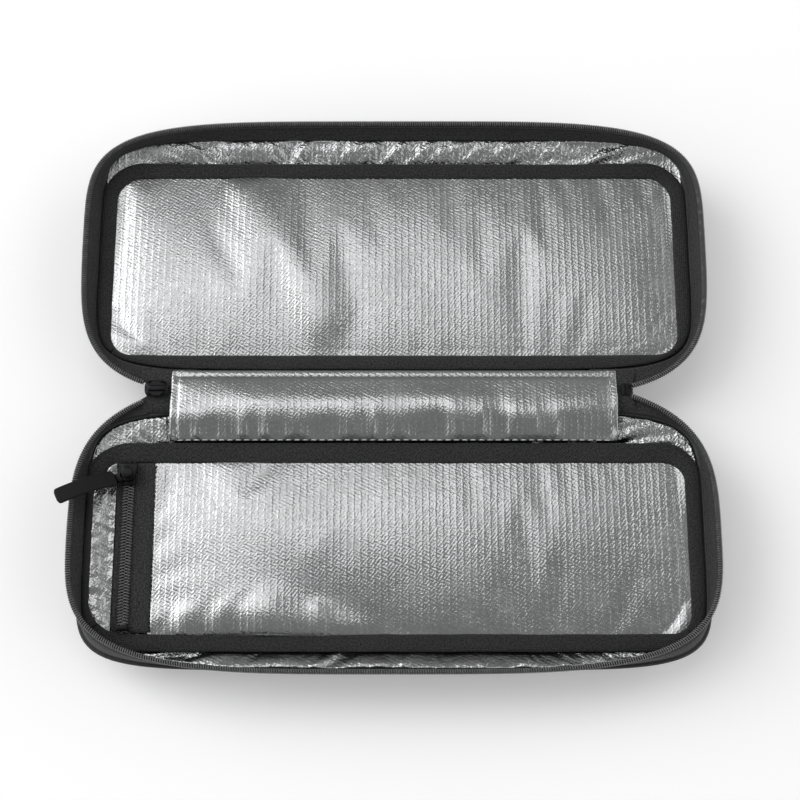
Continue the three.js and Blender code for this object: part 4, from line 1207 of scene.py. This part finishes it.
def rim_tape(half):
    """The tape between a rim and the main coil, with a groove where the coil is sewn on"""
    points, outward, z, _ = coil_line(half, ZIP_STEP)
    reach = reach_to_shell(points, outward, 0.8 * MM)
    foot = level(points + outward * reach[:, None], RIM_Z + 0.45 * MM)
    head = np.column_stack([points, z - 0.9 * MM])
    side = unit(np.column_stack([outward * (head - foot)[:, 2:], reach]))
    shares = np.array([0, 0.12, 0.3, 0.5, 0.68, 0.74, 0.78, 0.82, 0.9, 0.97, 1.0])
    thick = np.array([0.42, 0.4, 0.38, 0.38, 0.38, 0.34, 0.16, 0.34, 0.42, 0.4, 0.25]) * MM
    bow = 0.5 * MM * np.sin(np.pi * shares)
    face = [foot + (head - foot) * s + side * (b + t) for s, t, b in zip(shares, thick, bow)]
    back = [foot + (head - foot) * s + side * (b - t) for s, t, b in zip(shares, thick, bow)]
    rings = np.swapaxes(np.array(face + back[::-1]), 0, 1)
    return skin(f"{half}_zip_webbing", place(rings, half))


def neck_web(end, side):
    """The tape that closes the gap between the halves at one end of the fold"""
    share, across = np.meshgrid(np.linspace(0, 1, 40), np.linspace(-1, 1, 48))
    if side > 0:
        tip = NECK_X + (0.6 + 1.2 * np.abs(across) ** 1.5) * MM
    else:
        tip = SLIDER_SIDE_END + (3.9 * smoothstep(np.abs(across), 0.1, 0.5) - 3) * MM
    root = NECK_X - 14 * MM
    x = side * (root + (tip - root) * share)
    y = FOLD_Y + across * 8 * MM
    z = RIM_Z + (2.0 - 1.6 * across**4 - 0.3 * np.exp(-((across / 0.16) ** 2))) * MM
    z += 0.12 * MM * ripple(np.stack([x, y], axis=-1), 5 * MM, 5 + side)
    return thicken(open_sheet(f"neck_web_{end}", np.dstack([x, y, z])), STRIP_THICKNESS)


class CASE_OT_main_zip(bpy.types.Operator):
    """Makes the main zip: a woven tape on each rim, a wound coil along its edge and the webs at the two necks"""

    bl_idname = "case.main_zip"
    bl_label = "Main zip"

    def execute(self, context):
        sizes = context.scene.case_sizes
        filler_radius = 0.62 * MM
        for half in HALVES:
            tape = dress(rim_tape(half), "Zip Tape", "zip_tape", f"{half}_zip_tape")
            across_fold(tape)
            points, outward, z, run = coil_line(half, sizes.coil_pitch / COIL_TURN_STEPS)
            reach = COIL_RADIUS - sizes.coil_wire
            coil = coil_wire(f"{half}_zip_teeth", np.column_stack([points, z]), level(outward, 0), run, half,
                             pitch=sizes.coil_pitch, reach=reach, rise=reach, wire=sizes.coil_wire)
            dress(coil, "Nylon Coil", "zip_coil", f"{half}_zip_coil")
            across_fold(coil)
            points, outward, z, _ = coil_line(half, ZIP_STEP)
            line = place(np.column_stack([points, z]), half)
            # The filler cord inside the coil is real, but it wears the near-black of the pull tabs, darker than the
            # coil, as painted shade in the gaps between the coil's turns
            filler = tube(f"{half}_zip_filler", line, filler_radius, 10, turned_round(level(outward, 0), half))
            dress(filler, "Soft Tab", "zip_coil")
            across_fold(filler)
        for end, side in (("left", -1), ("right", 1)):
            web = dress(neck_web(end, side), "Zip Tape", "zip_tape")
            across_fold(web)
        return {"FINISHED"}


class CASE_OT_pocket_zip(bpy.types.Operator):
    """Makes the pocket zip: two tapes, two wound coils and the bottom stop"""

    bl_idname = "case.pocket_zip"
    bl_label = "Pocket zip"

    def execute(self, context):
        sizes = context.scene.case_sizes
        wire, overlap, tuck = 0.24 * MM, 0.3 * MM, 0.5 * MM
        closed_x = (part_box("pocket_zip_outer_coil")[1].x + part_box("pocket_zip_inner_coil")[0].x) / 2
        shares = np.array([0, 0.03, 0.25, 0.5, 0.75, 0.97, 1, 0.97, 0.5, 0.03])
        for side in ("outer", "inner"):
            low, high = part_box(f"pocket_zip_{side}_tape")
            coil_low, coil_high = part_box(f"pocket_zip_{side}_coil")
            if side == "inner":
                start, stop, rise = coil_low.x + tuck, high.x + 1.1 * MM, 0.5
                far, near, away, shift = coil_high.x, closed_x - overlap, 1.0, 0
            else:
                start, stop, rise = low.x, coil_high.x - tuck, 0
                far, near, away, shift = coil_low.x, closed_x + overlap, -1.0, sizes.pocket_pitch / 2
            lifts = np.array([0.3, 0.6, 0.64, 0.66 + 0.1 * rise, 0.64 + 0.5 * rise,
                              0.6 + rise, 0.3 + rise, rise, 0, 0]) * MM
            section = np.column_stack([start + (stop - start) * shares, 0 * shares, low.z + lifts])
            rings = [section + [0, y, 0] for y in np.linspace(low.y, high.y, 60)]
            tape = skin(f"pocket_zip_{side}_webbing", rings)
            dress(tape, "Zip Tape", "zip_tape", f"pocket_zip_{side}_tape", body="base")
            length = coil_high.y - coil_low.y
            run = np.linspace(0, length, int(length / (sizes.pocket_pitch / POCKET_TURN_STEPS)))
            centre = np.column_stack([0 * run + (far + near) / 2, coil_low.y + run, 0 * run + low.z + 1.25 * MM])
            out = np.tile([away, 0, 0], (len(run), 1))
            coil = coil_wire(f"pocket_zip_{side}_teeth", centre, out, run + shift, "base", pitch=sizes.pocket_pitch,
                             reach=abs(far - near) / 2 - wire, rise=0.5 * MM, wire=wire)
            dress(coil, "Nylon Coil", "zip_coil", f"pocket_zip_{side}_coil", body="base")
        low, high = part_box("pocket_zip_stop")
        stop = block("pocket_zip_clamp", (low.x, low.y, low.z - 0.6 * MM), high, 0.3 * MM)
        dress(stop, "Black Plate", "slider_metal", "pocket_zip_stop", body="base", smooth=40)
        return {"FINISHED"}


class CASE_OT_spine(bpy.types.Operator):
    """Makes the fabric spine and the stitched foil flap over it"""

    bl_idname = "case.spine"
    bl_label = "Spine and flap"

    def execute(self, context):
        sizes = context.scene.case_sizes
        low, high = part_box("spine_strip")
        x, y = np.meshgrid(np.linspace(low.x, high.x, 160), np.linspace(low.y, high.y, 24))
        share = (2 * y - low.y - high.y) / (high.y - low.y)
        sag = 1.2 * MM
        z = high.z - sag * (1 - share**2)
        spine = open_sheet("spine_webbing", np.dstack([x, y, z]))
        thicken(spine, SPINE_THICKNESS)
        dress(spine, "Zip Tape", "zip_tape", "spine_strip")
        across_fold(spine)

        low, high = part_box("hinge_flap")
        u, k = np.meshgrid(np.linspace(-1, 1, 260), np.linspace(0, 1, 60))
        x = u * high.x
        y = high.y + (low.y - high.y) * k
        crown = (3.8 - 1.2 * np.abs(u) ** 8) * MM
        z = RIM_Z + SEAM + 1.2 * MM - 1.8 * MM * k**3 + crown * np.sin(np.pi * k**1.35) ** 0.66
        inset = 2.4 * MM
        hem = np.minimum(high.x - np.abs(x), high.y - y)
        z -= 0.35 * MM * np.exp(-((hem - inset) / (0.8 * MM)) ** 2)
        z += 0.9 * MM * gathers(x, y - low.y, 8 * MM, 7 * MM, 91)
        z += 0.3 * MM * gathers(y, high.x - np.abs(x), 6 * MM, 7 * MM, 92)
        z += np.sin(np.pi * k) * 0.35 * MM * ripple(np.stack([x, y], axis=-1) * [0.5, 1.4], 14 * MM, 93)
        flap = open_sheet("hinge_flap_foil", np.dstack([x, y, z]))
        thicken(flap, PADDED_THICKNESS)
        dress(flap, "Foil", "foil", "hinge_flap")
        across_fold(flap)

        along = np.linspace(-high.x + inset, high.x - inset, 360)
        down = np.linspace(low.y + MM, high.y - inset, 120)
        rows = [("top", along, high.y - inset), ("left", -high.x + inset, down),
                ("right", high.x - inset, down), ("low", along, low.y + 0.4 * MM)]
        for edge, at_x, at_y in rows:
            plan = np.column_stack(np.broadcast_arrays(at_x, at_y))
            heights = [z[np.abs(y[:, 0] - b).argmin(), np.abs(x[0] - a).argmin()] for a, b in plan]
            line = np.column_stack([plan, heights])
            row = stitch_row(f"hinge_flap_{edge}_stitches", line, all_up(line), sizes)
            dress(row, "Grey Thread", "foil")
            across_fold(row)
        return {"FINISHED"}


class CASE_OT_sliders(bpy.types.Operator):
    """Makes both zip sliders and the end stop of the main zip"""

    bl_idname = "case.sliders"
    bl_label = "Sliders and stop"

    def execute(self, context):
        low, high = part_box("pocket_zip_slider")
        middle = (low + high) / 2
        wing_low = high.z - 3.8 * MM
        body = block("pocket_slider_body", (low.x, low.y, wing_low), (high.x, high.y, wing_low + 1.0 * MM))
        taper_nose(body, low.y, 0.62)
        round_edges(body, 0.35 * MM)
        join_block(body, (middle.x - 2.2 * MM, low.y, low.z),
                   (middle.x + 2.2 * MM, high.y, low.z + 0.9 * MM), 0.25 * MM)
        join_block(body, (middle.x - 0.3 * MM, high.y - 2 * MM, low.z + 0.4 * MM),
                   (middle.x + 0.3 * MM, high.y - 0.2 * MM, wing_low + 0.5 * MM))
        post = (*JOINT["pocket_pull_swing"]["pos_m"][:2], 0)
        combine(body, drum("slider_post", post, 1.1 * MM, wing_low + 0.4 * MM, high.z - 0.4 * MM))
        head = drum("slider_head", post, 1.9 * MM, high.z - 0.9 * MM, high.z)
        combine(body, round_edges(head, 0.3 * MM))
        dress(body, "Black Plate", "slider_metal", "pocket_zip_slider", body="pocket_slider", smooth=35)

        low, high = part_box("main_zip_slider")
        middle = (low + high) / 2
        plate, plate_z = 0.9 * MM, high.z - 4.4 * MM
        body = slider_plate("main_slider_body", low, high, high.z - 1.6 * MM, plate)
        join_block(body, (low.x + 1.2 * MM, middle.y - 1.1 * MM, high.z - 1.2 * MM),
                   (high.x - 0.6 * MM, middle.y + 1.1 * MM, high.z), 0.4 * MM)
        combine(body, slider_plate("slider_lower", low, high, plate_z, plate))
        join_block(body, (low.x + 0.1 * MM, middle.y - 0.6 * MM, plate_z + 0.4 * MM),
                   (low.x + 2 * MM, middle.y + 0.6 * MM, high.z - 1.0 * MM))
        pin_x, pin_y, pin_z = JOINT["main_pull_swing"]["pos_m"]
        for side in (-1, 1):
            near, far = sorted((side * 1.1 * MM, side * 1.8 * MM))
            join_block(body, (pin_x - MM, pin_y + near, pin_z - MM),
                       (pin_x + MM, pin_y + far, plate_z + 0.4 * MM), 0.15 * MM)
        pin = drum("slider_pin", (pin_x, 0, pin_z), 0.7 * MM, pin_y - 1.5 * MM, pin_y + 1.5 * MM, axis="Y")
        combine(body, pin)
        dress(body, "Black Plate", "slider_metal", "main_zip_slider", body="base", smooth=35)

        low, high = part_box("main_zip_stop")
        top = high.z - 0.9 * MM
        stop = block("main_zip_end", (low.x, low.y + 0.8 * MM, low.z), (high.x, high.y - 0.8 * MM, top), 0.6 * MM)
        groove = block("stop_groove", (low.x + 1.2 * MM, low.y - MM, top - 0.35 * MM),
                       (low.x + 1.8 * MM, high.y + MM, top + MM))
        combine(stop, groove, "DIFFERENCE")
        dress(stop, "Soft Tab", "zip_coil", "main_zip_stop", body="base", smooth=35)
        return {"FINISHED"}


def slider_plate(name, low, high, z, thickness):
    """An oval plate with soft edges that fills a box in plan"""
    turn = np.linspace(0, 2 * np.pi, 48, endpoint=False)
    middle = np.array([(low.x + high.x) / 2, (low.y + high.y) / 2])
    half = np.array([high.x - low.x, high.y - low.y]) / 2
    rings = []
    for inset, share in ((1.0, 0), (0.3, 0.05), (0, 0.3), (0, 0.6), (0.3, 0.9), (1.2, 1)):
        outline = middle + superellipse(*(half - inset * MM), 3.2, turn)
        rings.append(level(outline, z + share * thickness))
    return skin(name, rings)


def taper_nose(obj, front, share):
    """Draws in the narrow end of a slider plate"""
    middle = sum((vertex.co for vertex in obj.data.vertices), Vector()) / len(obj.data.vertices)
    edit_picked(obj, "VERT", lambda vertex: vertex.co.y < front + 0.1 * MM,
                lambda: bpy.ops.transform.resize(value=(share, 1, 1), center_override=middle))


def pull_link(name, eye, hole, arm, low, high):
    """A flat eye round the Z axis with an arm along X"""
    plate = drum(name, (0, 0, 0), eye, low, high)
    join_block(plate, (0, -arm / 2, low), (LINK_REACH, arm / 2, high))
    combine(plate, drum("link_bore", (0, 0, 0), hole, low - MM, high + MM), "DIFFERENCE")
    return round_edges(plate, 0.25 * MM, 2)


def tab_slab(name, line):
    """A soft tab with round edges along a line in the XZ plane"""
    line = even_steps(np.array(line), 60)
    ahead = unit(np.gradient(line, axis=0))
    run = run_along(line)
    from_end = np.minimum(run, run[-1] - run)
    cut = np.maximum(TAB_CORNER - from_end, 0)
    half = TAB_WIDTH / 2 - TAB_CORNER + np.sqrt(np.maximum(TAB_CORNER**2 - cut**2, 0))
    thin = TAB_THICKNESS / 2 * np.sqrt(np.clip(from_end / (0.5 * MM), 0.15, 1))
    turn = np.linspace(0, 2 * np.pi, 28, endpoint=False)
    rings = []
    for p, t, h, b in zip(line, ahead, half, thin):
        section = superellipse(h, b, 5, turn)
        at_ridge = np.abs(np.abs(section[:, 0]) / h - 0.82) < 0.06
        raised = section[:, 1] + np.sign(section[:, 1]) * 0.08 * MM * at_ridge
        rings.append(np.column_stack([p[0] - t[1] * raised, section[:, 0], p[1] + t[0] * raised]))
    return skin(name, rings)


class CASE_OT_pulls(bpy.types.Operator):
    """Makes the links and soft tabs of both zip pulls"""

    bl_idname = "case.pulls"
    bl_label = "Zip pulls"

    def execute(self, context):
        x, y, _ = JOINT["pocket_pull_swing"]["pos_m"]
        low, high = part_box("pocket_pull_link")
        aside = Matrix.Translation((x, y, 0)) @ Matrix.Rotation(POCKET_PULL_HEADING, 4, "Z")
        link = pull_link("pocket_pull_eye", eye=2.7 * MM, hole=1.4 * MM, arm=3.2 * MM, low=low.z, high=high.z)
        link.data.transform(aside)
        dress(link, "Black Plate", "slider_metal", "pocket_pull_link", body="pocket_pull", smooth=35)
        root_z = high.z + SEAM + 0.7 * MM
        tip_z = CLOSING_Z + 3 * MM
        t = np.linspace(0, 1, 200)[:, None]
        weights = ((1 - t) ** 3, 3 * (1 - t) ** 2 * t, 3 * (1 - t) * t**2, t**3)
        knots = np.array([(4.4 * MM, root_z), (6.5 * MM, root_z), (8.6 * MM, tip_z), (TAB_END, tip_z)])
        tab = tab_slab("pocket_pull_strap", sum(weight * knot for weight, knot in zip(weights, knots)))
        tab.data.transform(aside)
        dress(tab, "Soft Tab", "pull_rubber", "pocket_pull_tab", body="pocket_pull")

        pin = Vector(JOINT["main_pull_swing"]["pos_m"])
        dip = Matrix.Translation(pin) @ Matrix.Rotation(MAIN_PULL_DIP, 4, "Y")
        link = pull_link("main_pull_eye", eye=2.0 * MM, hole=1.0 * MM, arm=1.6 * MM, low=-0.8 * MM, high=0.8 * MM)
        link.data.transform(dip @ Matrix.Rotation(math.pi / 2, 4, "X"))
        dress(link, "Black Plate", "slider_metal", "main_pull_link", body="main_pull", smooth=35)
        tab = tab_slab("main_pull_strap", [(7.8 * MM, 0), (TAB_END, 0)])
        tab.data.transform(dip)
        dress(tab, "Soft Tab", "pull_rubber", "main_pull_tab", body="main_pull")
        return {"FINISHED"}


# Stage: the floor's size, how far it glows by itself, and how bright the world is ahead and to the sides
FLOOR_SIZE = 8
FLOOR_GLOW = 0.14
WORLD_AHEAD, WORLD_ASIDE = 0.3, 1.2

# Lamps: place, size and power
LAMPS = {
    "key_softbox": ((-1.6, 0.75, 1.6), (1.5, 1.5), 20.0),
    "top_softbox": ((-0.17, 0.42, 1.15), (0.75, 0.55), 2.0),
}

# The camera looks down at the fold, leaning towards the base's front
CAMERA_DISTANCE = 0.548
CAMERA_LEAN = math.radians(16)
CAMERA_LENS = 71.91
CAMERA_SHIFT = (0.0075, -0.0208)


class CASE_OT_stage(bpy.types.Operator):
    """Makes the floor, the lights and the camera"""

    bl_idname = "case.stage"
    bl_label = "Stage"

    def execute(self, context):
        scene = context.scene
        scene.view_settings.view_transform = "Standard"
        deselect()
        bpy.ops.mesh.primitive_plane_add(size=FLOOR_SIZE)
        floor = context.object
        floor.name = "floor"
        material = bpy.data.materials.new("Floor Paper")
        material.use_nodes = True
        tree = material.node_tree
        tree.nodes.clear()
        output = tree.nodes.new("ShaderNodeOutputMaterial")
        paper = add(tree, "ShaderNodeBsdfDiffuse", {"Color": (*scene.case_colours.floor, 1)})
        path = tree.nodes.new("ShaderNodeLightPath")
        seen = maths(tree, "MAXIMUM", path.outputs["Is Camera Ray"], path.outputs["Is Glossy Ray"])
        strength = maths(tree, "MULTIPLY", seen, FLOOR_GLOW)
        glow = add(tree, "ShaderNodeEmission", {"Color": (1, 1, 1, 1), "Strength": strength})
        mixed = add(tree, "ShaderNodeAddShader", {0: paper.outputs[0], 1: glow.outputs[0]})
        tree.links.new(mixed.outputs[0], output.inputs["Surface"])
        floor.data.materials.append(material)

        # The world is brighter to the left and right, so that the foil also looks bright from the sides
        world = scene.world or bpy.data.worlds.new("World")
        scene.world = world
        world.use_nodes = True
        tree = world.node_tree
        tree.nodes.clear()
        output = tree.nodes.new("ShaderNodeOutputWorld")
        split = add(tree, "ShaderNodeSeparateXYZ", {0: coordinates(tree, "Generated")})
        glow = remap(tree, maths(tree, "ABSOLUTE", split.outputs[0]), 0.42, 0.68, WORLD_AHEAD, WORLD_ASIDE)
        sky = add(tree, "ShaderNodeBackground", {"Color": (1, 1, 1, 1), "Strength": glow})
        tree.links.new(sky.outputs[0], output.inputs["Surface"])

        target = Vector((0, FOLD_Y, 0.02))
        for name, (where, size, power) in LAMPS.items():
            deselect()
            bpy.ops.object.light_add(type="AREA", location=where)
            lamp = context.object
            lamp.name = name
            lamp.data.shape = "RECTANGLE"
            lamp.data.size, lamp.data.size_y = size
            lamp.data.energy = power
            lamp.rotation_euler = (target - Vector(where)).to_track_quat("-Z", "Y").to_euler()

        look = Vector((0, FOLD_Y, CLOSING_Z))
        eye = look + CAMERA_DISTANCE * Vector((0, -math.sin(CAMERA_LEAN), math.cos(CAMERA_LEAN)))
        deselect()
        bpy.ops.object.camera_add(location=eye)
        camera = context.object
        camera.name = "photo_camera"
        camera.rotation_euler = (look - eye).to_track_quat("-Z", "Y").to_euler()
        camera.data.sensor_width = 36
        camera.data.lens = CAMERA_LENS
        camera.data.shift_x, camera.data.shift_y = CAMERA_SHIFT
        camera.data.clip_start = 0.01
        scene.camera = camera
        return {"FINISHED"}


class CASE_PT_panel(bpy.types.Panel):
    """Lists the sizes, colours and steps of the cooling case"""

    bl_idname = "CASE_PT_panel"
    bl_label = "Cooling case"
    bl_space_type = "VIEW_3D"
    bl_region_type = "UI"
    bl_category = "Cooling case"

    def draw(self, context):
        layout = self.layout
        for group in (context.scene.case_sizes, context.scene.case_colours):
            box = layout.box()
            for name in group.__annotations__:
                box.prop(group, name)
        for operator in OPERATORS:
            layout.operator(operator.bl_idname)


OPERATORS = (
    CASE_OT_materials,
    CASE_OT_covers,
    CASE_OT_cores,
    CASE_OT_linings,
    CASE_OT_pocket_panels,
    CASE_OT_side_strip,
    CASE_OT_bindings,
    CASE_OT_main_zip,
    CASE_OT_pocket_zip,
    CASE_OT_spine,
    CASE_OT_sliders,
    CASE_OT_pulls,
    CASE_OT_stage,
)
CLASSES = (CaseSizes, CaseColours, *OPERATORS, CASE_PT_panel)


def register():
    for cls in CLASSES:
        bpy.utils.register_class(cls)
    bpy.types.Scene.case_sizes = PointerProperty(type=CaseSizes)
    bpy.types.Scene.case_colours = PointerProperty(type=CaseColours)


def unregister():
    del bpy.types.Scene.case_colours
    del bpy.types.Scene.case_sizes
    for cls in reversed(CLASSES):
        bpy.utils.unregister_class(cls)


def main():
    register()
    bpy.ops.case.materials()
    bpy.ops.case.covers()
    bpy.ops.case.cores()
    bpy.ops.case.linings()
    bpy.ops.case.pocket_panels()
    bpy.ops.case.side_strip()
    bpy.ops.case.bindings()
    bpy.ops.case.main_zip()
    bpy.ops.case.pocket_zip()
    bpy.ops.case.spine()
    bpy.ops.case.sliders()
    bpy.ops.case.pulls()
    bpy.ops.case.stage()


if __name__ == "__main__":
    main()
